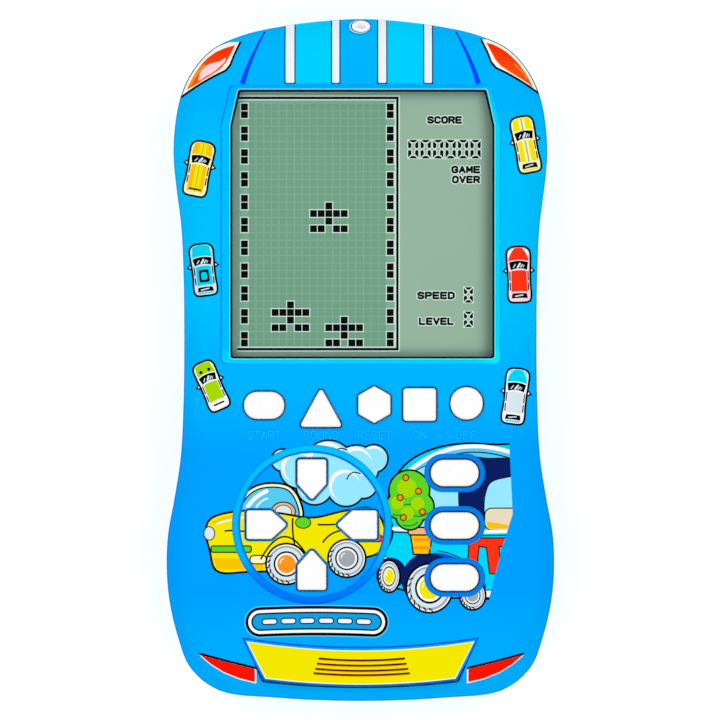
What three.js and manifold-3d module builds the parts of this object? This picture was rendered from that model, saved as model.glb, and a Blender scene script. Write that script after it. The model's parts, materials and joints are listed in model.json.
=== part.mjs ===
// A handheld brick-game console shaped like a toy car: two shells, a reflective LCD behind a clear
// window, twelve sprung keys on silicone pads, a two-cell battery box with a hinged door, and a buzzer.
// Millimetres. +X is the player's right, +Y runs from the keys to the screen, +Z comes out of the screen.
// The origin is on the surface that the console lies on, under the middle of its case.
import * as THREE from "three";
import { mergeVertices } from "three/addons/utils/BufferGeometryUtils.js";
import Module from "manifold-3d";

const wasm = await Module();
wasm.setup();

// ---- Driving dimensions -------------------------------------------------------------------------

const GAP = 0.3; // running gap between neighbours
const WALL = 1.8; // both shells
const FRONT_FACE = 25; // height of the flat front face
const PART_LINE = 11.5; // where the front shell's rim starts
const CASE_SIDES = 64; // facets round the case outline

// Half outline of the case, from the top middle round the right side to the bottom middle.
const HALF_OUTLINE = [
  [0, 86], [10.5, 85.4], [19.6, 84.2], [29.2, 82.1], [37.4, 78.4], [42.6, 72.6], [45.6, 65.8],
  [47, 57.5], [47.2, 51], [46.5, 43.5], [45.3, 34], [44.7, 22], [44.5, 5], [44.7, -11], [45.4, -24.5],
  [47, -35], [48.6, -44], [48.95, -52.5], [48.2, -61], [46.1, -69.9], [43, -77.6], [35.8, -83.3],
  [21, -85.2], [0, -86],
];

const FRONT_EDGE = { inward: 6, down: 7 }; // rounding of the case edge at the front
const BACK_EDGE = { inward: 7.5, down: 8 };

const WINDOW = { left: -32.7, right: 33.7, bottom: 0.4, top: 68, flare: 2, flareTo: 59 };
const WINDOW_FRAME = { width: 2.3, height: 0.4 };
const LENS = { thick: 1.2, lap: 1.6 };
const GLASS = 1.1; // each plate of the display
const FILM = 0.2; // polariser and reflector
const TRAY = { half: 35.8, bottom: -4.6, top: 71.2, floor: 18, wall: 1 };

const BOARD = { top: 17.7, thick: 1.6, half: 37, shoulder: 35.5, high: 7, low: -65, cut: 7 };
const KEY = { travel: 1.2, flange: 1, lip: 0.9, proud: 1.5, round: 0.5 };
const PAD = { sheet: 1, domeTop: 21.8, domeRadius: 3, plate: 1.6 };

// Two AA cells lie across the case, in a box that the back shell carries under the display.
const CELL = { radius: 7.1, body: 49.2, nub: 1.3, nubRadius: 2.7, pitch: 15.2, middle: 28.8, height: 9.3 };
const LOW_CELL = CELL.middle - CELL.pitch / 2;
const HIGH_CELL = CELL.middle + CELL.pitch / 2;
const BOX = { half: 29, low: 13.5, high: 44.1, wall: 1.3, ceiling: 17.7, ledge: 3.4, ledgeOut: 3.5 };
const CONTACT = { outer: 28.9, thick: 0.4, half: 4.6, bump: 1, bumpRadius: 2, tabEnd: 32, tab: [11.9, 12.3] };
const COIL = { turns: 3.5, wire: 0.45, wide: 3.7, narrow: 2.6, start: 27.9, end: 23.7, steps: 34 };
const DOOR = { half: 31, low: 11.5, high: 46.1, outer: 0.3, thick: 1.4, earRadius: 5, screwY: 8, boss: 3.4 };
const HOOK = { xs: [-14, 14], half: 3.5, root: 2.3, reach: 3.2, low: 2.1, high: 3.1, swing: 5.3 };

const CASE_SCREWS = [[-40.3, 58], [40.3, 58], [-39.2, 2], [39.2, 2], [-40, -62], [40, -62]];
const BOARD_SCREWS = [[-34, -22], [34.6, -22], [-28, -58.5], [8, -60.5]];
const SCREW = { shank: 1.1, hole: 1.4, head: 2.2, headHigh: 1.5, slotDeep: 0.6, sides: 10 };

const BUZZER = { x: -14, y: -42, radius: 13.5, ceramic: 9.5, seat: 4.8, disc: 0.4, plate: 0.3 };
const SOUND_SLOTS = { reach: 2, pitch: 3.4, length: 17, taper: 2.6, width: 1.8 };

// What is soldered under the board, each at x, y.
const CHIP = { x: 14, y: -38, radius: 7, high: 1.9 };
const CAPACITOR = { x: 18, y: -18, radius: 2.6, length: 7, lead: 0.6, leadGap: 2.4 };
const TRANSISTOR = { x: 0, y: -20, radius: 2.3, low: 6.5, high: 2, leg: 0.5, legPitch: 1.27 };
const RESISTOR = { x: 1, y: -10, radius: 1.1, length: 6, span: 8, lead: 0.5, drop: 1.8 };
const WIRE = { radius: 0.6, steps: 14 };

// ---- Keys: name, place, corners of the outline about that place, corner radius ------------------

const rectangle = (w, h) => [[-w / 2, -h / 2], [w / 2, -h / 2], [w / 2, h / 2], [-w / 2, h / 2]];
const hexagon = (r) => [...Array(6)].map((_, i) => polar(r, Math.PI / 6 + (i * Math.PI) / 3));
const polar = (r, angle) => [r * Math.cos(angle), r * Math.sin(angle)];
const turned = (points, angle) => points.map(([x, y]) => [
  x * Math.cos(angle) - y * Math.sin(angle),
  x * Math.sin(angle) + y * Math.cos(angle),
]);

const CROSS = { x: -12.2, y: -41.4, tip: 6.1, shoulder: 10.2, outer: 16.5, half: 3.7, ring: [18.1, 20] };
const arrowKey = [
  [0, CROSS.tip], [CROSS.half, CROSS.shoulder], [CROSS.half, CROSS.outer],
  [-CROSS.half, CROSS.outer], [-CROSS.half, CROSS.shoulder],
];
const ACTION = { x: 23.7, ys: [-28.4, -41.6, -54.7], size: [12.2, 6.8], collar: [15, 9.4], high: 0.6 };

const FUNCTION_KEYS = [
  { name: "key_start_pause", x: -24.2, y: -11.4, corners: rectangle(10.3, 7), radius: 3.4 },
  { name: "key_sound", x: -9.9, y: -11.9, corners: [[-5.6, -5], [5.6, -5], [0, 5.2]], radius: 0.7 },
  { name: "key_reset", x: 3.5, y: -11.2, corners: hexagon(4.75), radius: 0.6 },
  { name: "key_on", x: 14.9, y: -11.2, corners: rectangle(8.4, 8.4), radius: 0.9 },
  { name: "key_off", x: 26.7, y: -10.9, corners: rectangle(8.3, 8.3), radius: 4.05 },
];
const DIRECTION_KEYS = ["up", "left", "down", "right"].map((way, i) => ({
  name: "key_" + way, x: CROSS.x, y: CROSS.y, corners: turned(arrowKey, (i * Math.PI) / 2), radius: 0.7,
}));
const ACTION_KEYS = ["top", "middle", "bottom"].map((place, i) => ({
  name: "key_action_" + place, x: ACTION.x, y: ACTION.ys[i], corners: rectangle(...ACTION.size),
  radius: 3.3, proud: ACTION.high,
}));
const KEYS = [...FUNCTION_KEYS, ...DIRECTION_KEYS, ...ACTION_KEYS];

// ---- Solids -------------------------------------------------------------------------------------

function solidOf(geometry) {
  const bare = new THREE.BufferGeometry().setAttribute("position", geometry.getAttribute("position"));
  if (geometry.index) bare.setIndex(geometry.index);
  const merged = mergeVertices(bare, 1e-4);
  return new wasm.Manifold(new wasm.Mesh({
    numProp: 3,
    vertProperties: merged.attributes.position.array,
    triVerts: new Uint32Array(merged.index.array),
  }));
}

function geometryOf(solid) {
  const mesh = solid.getMesh();
  const geometry = new THREE.BufferGeometry()
    .setAttribute("position", new THREE.BufferAttribute(new Float32Array(mesh.vertProperties), 3))
    .setIndex(new THREE.BufferAttribute(new Uint32Array(mesh.triVerts), 1));
  return geometry;
}

// A solid whose sections are rings of equal point counts, each {points, z}, capped at both ends.
function loft(rings) {
  const count = rings[0].points.length;
  const position = rings.flatMap(({ points, z }) => points.flatMap(([x, y]) => [x, y, z]));
  const cap = (ring) => THREE.ShapeUtils.triangulateShape(
    rings[ring].points.map(([x, y]) => new THREE.Vector2(x, y)), [],
  ).map((face) => face.map((i) => i + ring * count));
  const faces = cap(0).map(([a, b, c]) => [a, c, b]).concat(cap(rings.length - 1));
  for (let r = 0; r + 1 < rings.length; r++)
    for (let i = 0; i < count; i++) {
      const [a, b] = [r * count + i, r * count + ((i + 1) % count)];
      faces.push([a, b, b + count], [a, b + count, a + count]);
    }
  const geometry = new THREE.BufferGeometry()
    .setAttribute("position", new THREE.BufferAttribute(new Float32Array(position), 3))
    .setIndex(new THREE.BufferAttribute(new Uint32Array(faces.flat()), 1));
  return solidOf(geometry);
}

const prism = (points, low, high) => loft([{ points, z: low }, { points, z: high }]);
const moved = (points, x, y) => points.map(([px, py]) => [px + x, py + y]);
const circle = (r, sides) => [...Array(sides)].map((_, i) => polar(r, ((i + 0.5) * 2 * Math.PI) / sides));
const post = (x, y, r, low, high, sides = 14) => prism(moved(circle(r, sides), x, y), low, high);
const box = (x0, x1, y0, y1, z0, z1) => prism([[x0, y0], [x1, y0], [x1, y1], [x0, y1]], z0, z1);
const union = (solids) => solids.reduce((all, s) => all.add(s));

// A convex outline moved out by grow, with its corners rounded.
function rounded(corners, radius, grow = 0, steps = 2) {
  const count = corners.length;
  const signed = corners.reduce((sum, [x, y], i) => {
    const [nx, ny] = corners[(i + 1) % count];
    return sum + x * ny - nx * y;
  }, 0);
  const ring = signed > 0 ? corners : [...corners].reverse();
  const edges = ring.map(([x, y], i) => {
    const [nx, ny] = ring[(i + 1) % count];
    return Math.atan2(ny - y, nx - x);
  });
  const out = [];
  ring.forEach(([x, y], i) => {
    const before = edges[(i + count - 1) % count] - Math.PI / 2;
    let after = edges[i] - Math.PI / 2;
    while (after < before) after += 2 * Math.PI;
    const half = (after - before) / 2;
    const inset = radius / Math.cos(half); // from the corner back to the rounding's centre
    const [cx, cy] = polar(inset, before + half);
    for (let s = 0; s <= steps; s++) {
      const [rx, ry] = polar(radius + grow, before + ((after - before) * s) / steps);
      out.push([x - cx + rx, y - cy + ry]);
    }
  });
  return out;
}

const keyOutline = (key, grow = 0) => moved(rounded(key.corners, key.radius, grow), key.x, key.y);

// The case outline: the half and its mirror image, joined in one closed curve that runs anticlockwise.
const leftHalf = HALF_OUTLINE.map(([x, y]) => [-x, y]);
const rightHalf = HALF_OUTLINE.slice(1, -1).reverse();
const caseCurve = new THREE.CatmullRomCurve3(
  [...leftHalf, ...rightHalf].map(([x, y]) => new THREE.Vector3(x, y, 0)), true, "centripetal",
);
const casePoints = caseCurve.getSpacedPoints(CASE_SIDES).slice(0, CASE_SIDES);

// The case outline, moved in by inset.
function caseOutline(inset) {
  return casePoints.map((p, i) => {
    const next = casePoints[(i + 1) % CASE_SIDES];
    const last = casePoints[(i + CASE_SIDES - 1) % CASE_SIDES];
    const along = next.clone().sub(last).normalize();
    return [p.x - along.y * inset, p.y + along.x * inset];
  });
}

// Rings up a rounded case edge, from a straight side to a flat face. side is 1 at the front, -1 at the back.
function caseRings(rim, face, edge, side, inset, steps) {
  const rings = [{ points: caseOutline(inset), z: rim }];
  for (let s = 0; s <= steps; s++) {
    const angle = (s / steps) * (Math.PI / 2);
    rings.push({
      points: caseOutline(inset + (edge.inward - inset * 0.4) * (1 - Math.cos(angle))),
      z: face - side * (edge.down - inset) * (1 - Math.sin(angle)),
    });
  }
  return side > 0 ? rings : rings.reverse();
}

// ---- Front shell --------------------------------------------------------------------------------

function windowOutline(grow) {
  const { left, right, bottom, top, flare, flareTo } = WINDOW;
  return [
    [left - grow, bottom - grow], [right + grow, bottom - grow], [right + grow, flareTo],
    [right + grow - flare, top + grow], [left - grow + flare, top + grow], [left - grow, flareTo],
  ];
}

// The yellow panel under the keys: curved top and bottom edges between slanted ends.
function bumperOutline() {
  const edge = (half, ends, middle) => [-1, -0.5, 0, 0.5, 1].map((t) => [
    half * t, middle + (ends - middle) * t * t,
  ]);
  return [...edge(24, -80.2, -81.7), ...edge(28.8, -70.6, -72.9).reverse()];
}

function frontShell() {
  const inner = FRONT_FACE - WALL;
  const outer = loft(caseRings(PART_LINE, FRONT_FACE, FRONT_EDGE, 1, 0, 4));
  let shell = outer;
  shell = shell.add(prism(windowOutline(WINDOW_FRAME.width), inner, FRONT_FACE + WINDOW_FRAME.height));
  shell = shell.add(prism(bumperOutline(), inner, FRONT_FACE + 0.3));

  shell = shell.subtract(loft(caseRings(PART_LINE - 1, inner, FRONT_EDGE, 1, WALL, 3)));
  const rebate = { low: PART_LINE - 1, high: PART_LINE + 1.4, outer: 0.65 };
  shell = shell.subtract(prism(caseOutline(rebate.outer), rebate.low, rebate.high));

  const [ringIn, ringOut] = CROSS.ring;
  const ring = post(CROSS.x, CROSS.y, ringOut, inner, FRONT_FACE + 0.6, 40)
    .subtract(post(CROSS.x, CROSS.y, ringIn, inner - 1, FRONT_FACE + 1, 40));
  shell = shell.add(ring);
  for (const y of ACTION.ys) {
    const collar = rounded(rectangle(...ACTION.collar), ACTION.collar[1] / 2 - 0.1);
    shell = shell.add(prism(moved(collar, ACTION.x, y), inner, FRONT_FACE + ACTION.high));
  }
  shell = shell.subtract(prism(windowOutline(0), inner - 1, FRONT_FACE + 2));
  for (const key of KEYS)
    shell = shell.subtract(prism(keyOutline(key, GAP), inner - 1, FRONT_FACE + 2));

  // Tapered creases on either side of the bonnet, above the window.
  for (const side of [-1, 1]) {
    const crease = [[24 * side, 83.4], [24.6 * side, 83.2], [31 * side, 71.2], [29.3 * side, 71.2]];
    const ordered = side > 0 ? [...crease].reverse() : crease;
    shell = shell.subtract(prism(ordered, FRONT_FACE - 0.5, FRONT_FACE + 1));
  }
  const bosses = union(CASE_SCREWS.map(([x, y]) => post(x, y, 2.8, PART_LINE, inner + 0.2)));
  shell = shell.add(bosses.intersect(outer));
  for (const [x, y] of BOARD_SCREWS)
    shell = shell.add(post(x, y, 2.1, BOARD.top, inner + 0.2, 10));
  for (const [x, y] of CASE_SCREWS)
    shell = shell.subtract(post(x, y, SCREW.hole, PART_LINE - 1, 20, 10));
  for (const [x, y] of BOARD_SCREWS)
    shell = shell.subtract(post(x, y, 1.1, BOARD.top - 1, 22, 8));
  return shell;
}

// ---- Back shell, with the battery box -----------------------------------------------------------

function backShell() {
  const rim = PART_LINE - GAP;
  const lip = { outer: 0.95, inner: 1.65, high: rim + 1.4 };
  const outer = loft(caseRings(rim, 0, BACK_EDGE, -1, 0, 4));
  let shell = outer;
  shell = shell.add(prism(caseOutline(lip.outer), rim - 1, lip.high));
  shell = shell.subtract(prism(caseOutline(lip.inner), rim - 1, lip.high + 1));
  shell = shell.subtract(loft(caseRings(rim, WALL, BACK_EDGE, -1, WALL, 3)));

  const bosses = union(CASE_SCREWS.map(([x, y]) => post(x, y, 3.4, WALL / 2, rim)));
  shell = shell.add(bosses.intersect(outer));
  for (const [x, y] of CASE_SCREWS) {
    shell = shell.subtract(post(x, y, SCREW.head + GAP, -1, 6, 12));
    shell = shell.subtract(post(x, y, SCREW.hole, 5, rim + 1, 10));
  }

  // Battery box: four walls and a ceiling, open to the back, with a ledge round the door opening.
  const { half, low, high, wall, ceiling, ledge, ledgeOut } = BOX;
  shell = shell.add(box(-half - wall, half + wall, low - wall, high + wall, WALL / 2, ceiling));
  shell = shell.add(box(
    -half - ledgeOut, half + ledgeOut, low - ledgeOut, high + ledgeOut, WALL / 2, ledge,
  ));
  shell = shell.subtract(box(-half, half, low, high, -1, ceiling - 1));
  shell = shell.add(post(0, DOOR.screwY, 3.4, WALL / 2, 9));

  shell = shell.subtract(prism(doorOutline(GAP), -1, WALL + 0.2));
  shell = shell.subtract(post(0, DOOR.screwY, 3.8, -1, 3.3, 14));
  shell = shell.subtract(post(0, DOOR.screwY, 1.6, 0, 8.5, 12));
  for (const x of HOOK.xs) { // room for the door's hooks, and for their swing
    const side = HOOK.half + 1;
    shell = shell.subtract(box(x - side, x + side, high - 1, DOOR.high + 4, WALL, HOOK.swing));
  }
  for (const y of [LOW_CELL, HIGH_CELL]) // slots for the contacts' solder tabs
    shell = shell.subtract(box(-half - 2, -half + 1, y - 1.4, y + 1.4, 11.4, 12.8));

  for (const x of [-25, 25]) // posts that press the board against the display's connector
    shell = shell.add(post(x, 2, 1.6, WALL / 2, BOARD.top - BOARD.thick - 0.1, 10));
  const seat = post(BUZZER.x, BUZZER.y, BUZZER.radius, WALL / 2, BUZZER.seat, 28)
    .subtract(post(BUZZER.x, BUZZER.y, BUZZER.radius - 1.6, 0, BUZZER.seat + 1, 28));
  shell = shell.add(seat);
  for (let i = -SOUND_SLOTS.reach; i <= SOUND_SLOTS.reach; i++) {
    const length = SOUND_SLOTS.length - SOUND_SLOTS.taper * Math.abs(i);
    const slot = rounded(rectangle(length, SOUND_SLOTS.width), SOUND_SLOTS.width / 2 - 0.1);
    shell = shell.subtract(prism(moved(slot, BUZZER.x, BUZZER.y + SOUND_SLOTS.pitch * i), -1, WALL + 0.5));
  }
  return shell;
}

// ---- Battery door, hinged on two hooks, with a captive screw ------------------------------------

function doorOutline(grow) {
  const { half, low, high, earRadius, screwY } = DOOR;
  const steps = 6;
  const ear = [...Array(steps + 1)].map((_, i) => polar(earRadius + grow, Math.PI * (1 + i / steps)));
  return [
    [-half - grow, low - grow], [-earRadius - grow, low - grow], ...moved(ear, 0, screwY),
    [earRadius + grow, low - grow], [half + grow, low - grow],
    [half + grow, high + grow], [-half - grow, high + grow],
  ];
}

function batteryDoor() {
  const { outer, thick, high, screwY, boss } = DOOR;
  const { half, root, reach } = HOOK;
  let door = prism(doorOutline(0), outer, outer + thick);
  for (const x of HOOK.xs) {
    door = door.add(box(x - half, x + half, high - root, high, outer, HOOK.high));
    door = door.add(box(x - half, x + half, high - root / 2, high + reach, HOOK.low, HOOK.high));
  }
  door = door.add(post(0, screwY, boss, outer + 0.5, 3, 14));
  door = door.subtract(post(0, screwY, SCREW.head + 0.2, -1, 1.8, 12));
  door = door.subtract(post(0, screwY, SCREW.hole, 0, 4, 10));
  return door;
}

// ---- Screen -------------------------------------------------------------------------------------

const LENS_LOW = FRONT_FACE - WALL - LENS.thick;
const DISPLAY = { left: WINDOW.left - 1.4, right: WINDOW.right + 0.8, bottom: -0.6, top: 69.8, ledge: 2.8 };
const UPPER_GLASS = TRAY.floor + 1 + FILM + GLASS;

const screenPlate = (low, high, ledge = 0) => box(
  DISPLAY.left, DISPLAY.right, DISPLAY.bottom - ledge, DISPLAY.top, low, high,
);
const lens = () => box(
  WINDOW.left - LENS.lap, WINDOW.right + LENS.lap, WINDOW.bottom - LENS.lap, WINDOW.top + LENS.lap,
  LENS_LOW, FRONT_FACE - WALL,
);

function displayTray() {
  const { half, bottom, top, floor, wall } = TRAY;
  const high = LENS_LOW - GAP;
  return box(-half, half, bottom, top, floor, high)
    .subtract(box(-half + wall, half - wall, bottom + wall, top - wall, floor + 1, high + 1))
    .subtract(box(-31.5, 31.5, bottom + wall, bottom + wall + 2.6, floor - 1, high + 1));
}

const stripConnector = () => box(-31, 31, -3.2, -1.4, BOARD.top, UPPER_GLASS);

// ---- Keys and pads ------------------------------------------------------------------------------

const FLANGE_TOP = FRONT_FACE - WALL - GAP;

function keyCap(key) {
  const top = FRONT_FACE + KEY.proud + (key.proud || 0);
  const low = FLANGE_TOP - KEY.flange;
  return loft([
    { points: keyOutline(key, KEY.lip), z: low },
    { points: keyOutline(key, KEY.lip), z: FLANGE_TOP },
    { points: keyOutline(key, 0), z: FLANGE_TOP },
    { points: keyOutline(key, 0), z: top - KEY.round },
    { points: keyOutline(key, -KEY.round), z: top },
  ]);
}

// A silicone sheet with one hollow-looking dome under each key.
function keyPad(keys, sheets) {
  const low = BOARD.top;
  const sheet = union(sheets.map(([x0, x1, y0, y1]) => box(x0, x1, y0, y1, low, low + PAD.sheet)));
  const domes = keys.map(([x, y]) => loft([
    { points: moved(circle(PAD.domeRadius, 12), x, y), z: low + PAD.sheet / 2 },
    { points: moved(circle(PAD.domeRadius, 12), x, y), z: low + PAD.sheet },
    { points: moved(circle(PAD.domeRadius * 0.7, 12), x, y), z: PAD.domeTop - PAD.plate },
    { points: moved(circle(PAD.domeRadius * 0.7, 12), x, y), z: PAD.domeTop },
  ]));
  return union([sheet, ...domes]);
}

// The middle of each direction key, where its dome is.
const crossArm = (CROSS.shoulder + CROSS.outer) / 2;
const directionDomes = [0, 1, 2, 3].map((quarter) => {
  const [x, y] = polar(crossArm, (quarter * Math.PI) / 2);
  return [CROSS.x + x, CROSS.y + y];
});

// ---- Circuit board and what is soldered to it ---------------------------------------------------

const BOARD_LOW = BOARD.top - BOARD.thick;

function mainBoard() {
  const { half, shoulder, high, low, cut, top } = BOARD;
  const outline = [
    [-shoulder, high], [-shoulder, -4], [-half, -5.5], [-half, low + cut], [-half + cut, low],
    [half - cut, low], [half, low + cut], [half, -5.5], [shoulder, -4], [shoulder, high],
  ];
  const holes = BOARD_SCREWS.map(([x, y]) => post(x, y, SCREW.hole, BOARD_LOW - 1, top + 1, 10));
  return prism(outline, BOARD_LOW, top).subtract(union(holes));
}

// The chip is under a flattened drop of resin.
function chipBlob() {
  const { x, y, radius, high } = CHIP;
  return loft([0.95, 0.7, 0.35, 0].map((t) => ({
    points: moved(circle(radius * Math.sqrt(1 - t * t), 18), x, y),
    z: BOARD_LOW - high * t,
  })));
}

// Lies on its side, with its two leads bent up to the board.
function capacitor() {
  const { x, y, radius, length, lead, leadGap } = CAPACITOR;
  const middle = BOARD_LOW - radius - 0.15;
  const end = x + length;
  const leads = [-1, 1].map((side) => {
    const at = y + (side * leadGap) / 2;
    return box(end - 0.1, end + 1.2, at - lead / 2, at + lead / 2, middle - 0.3, BOARD_LOW);
  });
  return union([lying(circle(radius, 14), length, x, y, middle), ...leads]);
}

// A half-round head on three legs.
function transistor() {
  const { x, y, radius, low, high, leg, legPitch } = TRANSISTOR;
  const half = [...Array(9)].map((_, i) => polar(radius, (i * Math.PI) / 8));
  const head = prism(moved(half, x, y), BOARD_LOW - low, BOARD_LOW - high);
  const legs = [-1, 0, 1].map((i) => {
    const at = x + i * legPitch;
    return box(at - leg / 2, at + leg / 2, y + 0.4, y + 0.4 + leg, BOARD_LOW - high - 0.5, BOARD_LOW);
  });
  return union([head, ...legs]);
}

// A body on one straight lead, whose ends turn up to the board.
function resistor() {
  const { x, y, radius, length, span, lead, drop } = RESISTOR;
  const middle = BOARD_LOW - drop;
  const run = (x0, x1, z0, z1) => box(x0, x1, y - lead / 2, y + lead / 2, z0, z1);
  return union([
    lying(circle(radius, 10), length, x - length / 2, y, middle),
    run(x - span / 2, x + span / 2, middle - lead / 2, middle + lead / 2),
    run(x - span / 2, x - span / 2 + lead, middle, BOARD_LOW),
    run(x + span / 2 - lead, x + span / 2, middle, BOARD_LOW),
  ]);
}

// A section in the YZ plane run along X from x, with its middle at y, z.
function lying(section, length, x, y, z) {
  const geometry = new THREE.ExtrudeGeometry(
    new THREE.Shape(section.map(([a, b]) => new THREE.Vector2(a, b))),
    { depth: length, bevelEnabled: false },
  );
  geometry.applyMatrix4(new THREE.Matrix4().makeBasis(
    new THREE.Vector3(0, 1, 0), new THREE.Vector3(0, 0, 1), new THREE.Vector3(1, 0, 0),
  ).setPosition(x, y, z));
  return solidOf(geometry);
}

// ---- Cells and contacts -------------------------------------------------------------------------

// side is where the cell's positive end is: -1 at -X, 1 at +X.
function cell(y, side) {
  const { radius, body, nub, nubRadius, height } = CELL;
  const tip = CONTACT.outer - CONTACT.thick - CONTACT.bump - 0.1;
  const reachX = (length, end) => (side < 0 ? -end : end - length);
  return lying(circle(radius, 28), body, reachX(body, tip - nub), y, height)
    .add(lying(circle(nubRadius, 14), nub + 0.2, reachX(nub + 0.2, tip), y, height));
}

// A plate against the end wall of the box on one side, with a raised spot for each positive end at bumpY
// and a solder tab through the wall at tabY.
function contactPlate(side, y0, y1, { bumpY, tabY }) {
  const { outer, thick, half, bump, bumpRadius, tabEnd, tab } = CONTACT;
  const across = (near, far) => [Math.min(side * near, side * far), Math.max(side * near, side * far)];
  const inner = outer - thick;
  const parts = [box(...across(outer, inner), y0 - half, y1 + half, CELL.height - half, CELL.height + half)];
  if (bumpY !== undefined) {
    const [start] = across(inner + 0.1, inner - bump);
    parts.push(lying(circle(bumpRadius, 12), bump + 0.1, start, bumpY, CELL.height));
  }
  if (tabY !== undefined) parts.push(box(...across(outer - 0.2, tabEnd), tabY - 1, tabY + 1, ...tab));
  return union(parts);
}

// A conical coil between a contact plate and a cell's flat end.
class Coil extends THREE.Curve {
  constructor(side, y) {
    super();
    this.side = side;
    this.y = y;
  }

  getPoint(t) {
    const [across, up] = polar(COIL.wide + (COIL.narrow - COIL.wide) * t, t * COIL.turns * 2 * Math.PI);
    const x = this.side * (COIL.start + (COIL.end - COIL.start) * t);
    return new THREE.Vector3(x, this.y + across, CELL.height + up);
  }
}
const coilSpring = (side, y) => tube(new Coil(side, y), COIL.wire, COIL.steps);

function tube(curve, radius, steps, sides = 6) {
  const section = new THREE.Shape(circle(radius, sides).map(([a, b]) => new THREE.Vector2(a, b)));
  return solidOf(new THREE.ExtrudeGeometry(section, { steps, extrudePath: curve, bevelEnabled: false }));
}

// A wire through the points, ending straight up under the board at x, y.
function wire(points, x, y) {
  const route = [...points, [x, y, BOARD_LOW - 2], [x, y, BOARD_LOW - GAP]];
  const curve = new THREE.CatmullRomCurve3(route.map((p) => new THREE.Vector3(...p)), false, "centripetal");
  return tube(curve, WIRE.radius, WIRE.steps);
}

// ---- Screws -------------------------------------------------------------------------------------

// A pan-head screw with a cross slot, its head down and its shank up from z.
function screw(x, y, z, length, head = SCREW.head, shank = SCREW.shank) {
  const ring = (radius, height) => ({ points: moved(circle(radius, SCREW.sides), x, y), z: height });
  const top = z - SCREW.headHigh; // the head's outer face, which looks down
  const slot = (w, h) => box(x - w / 2, x + w / 2, y - h / 2, y + h / 2, top - 1, top + SCREW.slotDeep);
  return loft([
    ring(head * 0.8, top), ring(head, z - SCREW.headHigh * 0.6), ring(head, z),
    ring(shank, z), ring(shank, z + length - 0.8), ring(shank * 0.5, z + length),
  ]).subtract(slot(2.4, 0.6)).subtract(slot(0.6, 2.4));
}

// ---- Assembly -----------------------------------------------------------------------------------

function finish(color, roughness, metalness = 0) {
  return new THREE.MeshStandardMaterial({ color, roughness, metalness });
}

const BLUE = finish(0x00aefe, 0.32);
const WHITE = finish(0xf8f9fb, 0.4);
const CLEAR = finish(0xe8f2f0, 0.05);
const DISPLAY_GREEN = finish(0x9ab5a2, 0.5);
const BLACK = finish(0x1c1c1e, 0.6);
const SILICONE = finish(0xb9bdc2, 0.7);
const BOARD_GREEN = finish(0x2c6b3f, 0.5);
const BRASS = finish(0xc9a24a, 0.3, 1);
const CERAMIC = finish(0xd9d4c8, 0.5);
const STEEL = finish(0xb4b7bb, 0.35, 1);
const JACKET = finish(0x3a3f46, 0.35, 0.4);
const RED = finish(0xc8201c, 0.5);

const game = new THREE.Group();
function piece(name, solid, material) {
  const mesh = new THREE.Mesh(geometryOf(solid), material);
  mesh.name = name;
  game.add(mesh);
}

piece("front_shell", frontShell(), BLUE);
piece("back_shell", backShell(), BLUE);
piece("battery_door", batteryDoor(), BLUE);
piece("battery_door_screw", screw(0, DOOR.screwY, 1.8, 4.2, 2.1), STEEL);

piece("screen_window", lens(), CLEAR);
piece("display_polariser", screenPlate(UPPER_GLASS + GLASS, UPPER_GLASS + GLASS + FILM), DISPLAY_GREEN);
piece("display_upper_glass", screenPlate(UPPER_GLASS, UPPER_GLASS + GLASS, DISPLAY.ledge), CLEAR);
piece("display_lower_glass", screenPlate(UPPER_GLASS - GLASS, UPPER_GLASS), CLEAR);
piece("display_reflector", screenPlate(TRAY.floor + 1, TRAY.floor + 1 + FILM), DISPLAY_GREEN);
piece("display_tray", displayTray(), BLACK);
piece("strip_connector", stripConnector(), BLACK);

for (const key of KEYS) piece(key.name, keyCap(key), WHITE);
const functionDomes = FUNCTION_KEYS.map((key) => [key.x, key.y]);
const actionDomes = ACTION_KEYS.map((key) => [key.x, key.y]);
piece("function_key_pad", keyPad(functionDomes, [[-31, 32, -18, -5.8]]), SILICONE);
piece("direction_key_pad", keyPad(directionDomes, [
  [CROSS.x - 17.2, CROSS.x + 17.2, CROSS.y - 4.6, CROSS.y + 4.6],
  [CROSS.x - 4.6, CROSS.x + 4.6, CROSS.y - 17.2, CROSS.y + 17.2],
]), SILICONE);
piece("action_key_pad", keyPad(actionDomes, [[17, 30.5, -61, -22]]), SILICONE);

piece("main_board", mainBoard(), BOARD_GREEN);
piece("chip_blob", chipBlob(), BLACK);
piece("power_capacitor", capacitor(), BLACK);
piece("buzzer_transistor", transistor(), BLACK);
piece("timing_resistor", resistor(), CERAMIC);

const discTop = BUZZER.seat + BUZZER.disc;
piece("buzzer_disc", post(BUZZER.x, BUZZER.y, BUZZER.radius - 0.2, BUZZER.seat, discTop, 28), BRASS);
const ceramic = post(BUZZER.x, BUZZER.y, BUZZER.ceramic, discTop, discTop + BUZZER.plate, 24);
piece("buzzer_ceramic", ceramic, CERAMIC);

piece("battery_cell_lower", cell(LOW_CELL, 1), JACKET);
piece("battery_cell_upper", cell(HIGH_CELL, -1), JACKET);
const positivePlate = contactPlate(-1, HIGH_CELL, HIGH_CELL, { bumpY: HIGH_CELL, tabY: HIGH_CELL });
piece("positive_contact", positivePlate, STEEL);
piece("negative_contact", contactPlate(-1, LOW_CELL, LOW_CELL, { tabY: LOW_CELL }), STEEL);
piece("negative_spring", coilSpring(-1, LOW_CELL), STEEL);
piece("bridge_contact", contactPlate(1, LOW_CELL, HIGH_CELL, { bumpY: LOW_CELL }), STEEL);
piece("bridge_spring", coilSpring(1, HIGH_CELL), STEEL);

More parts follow.
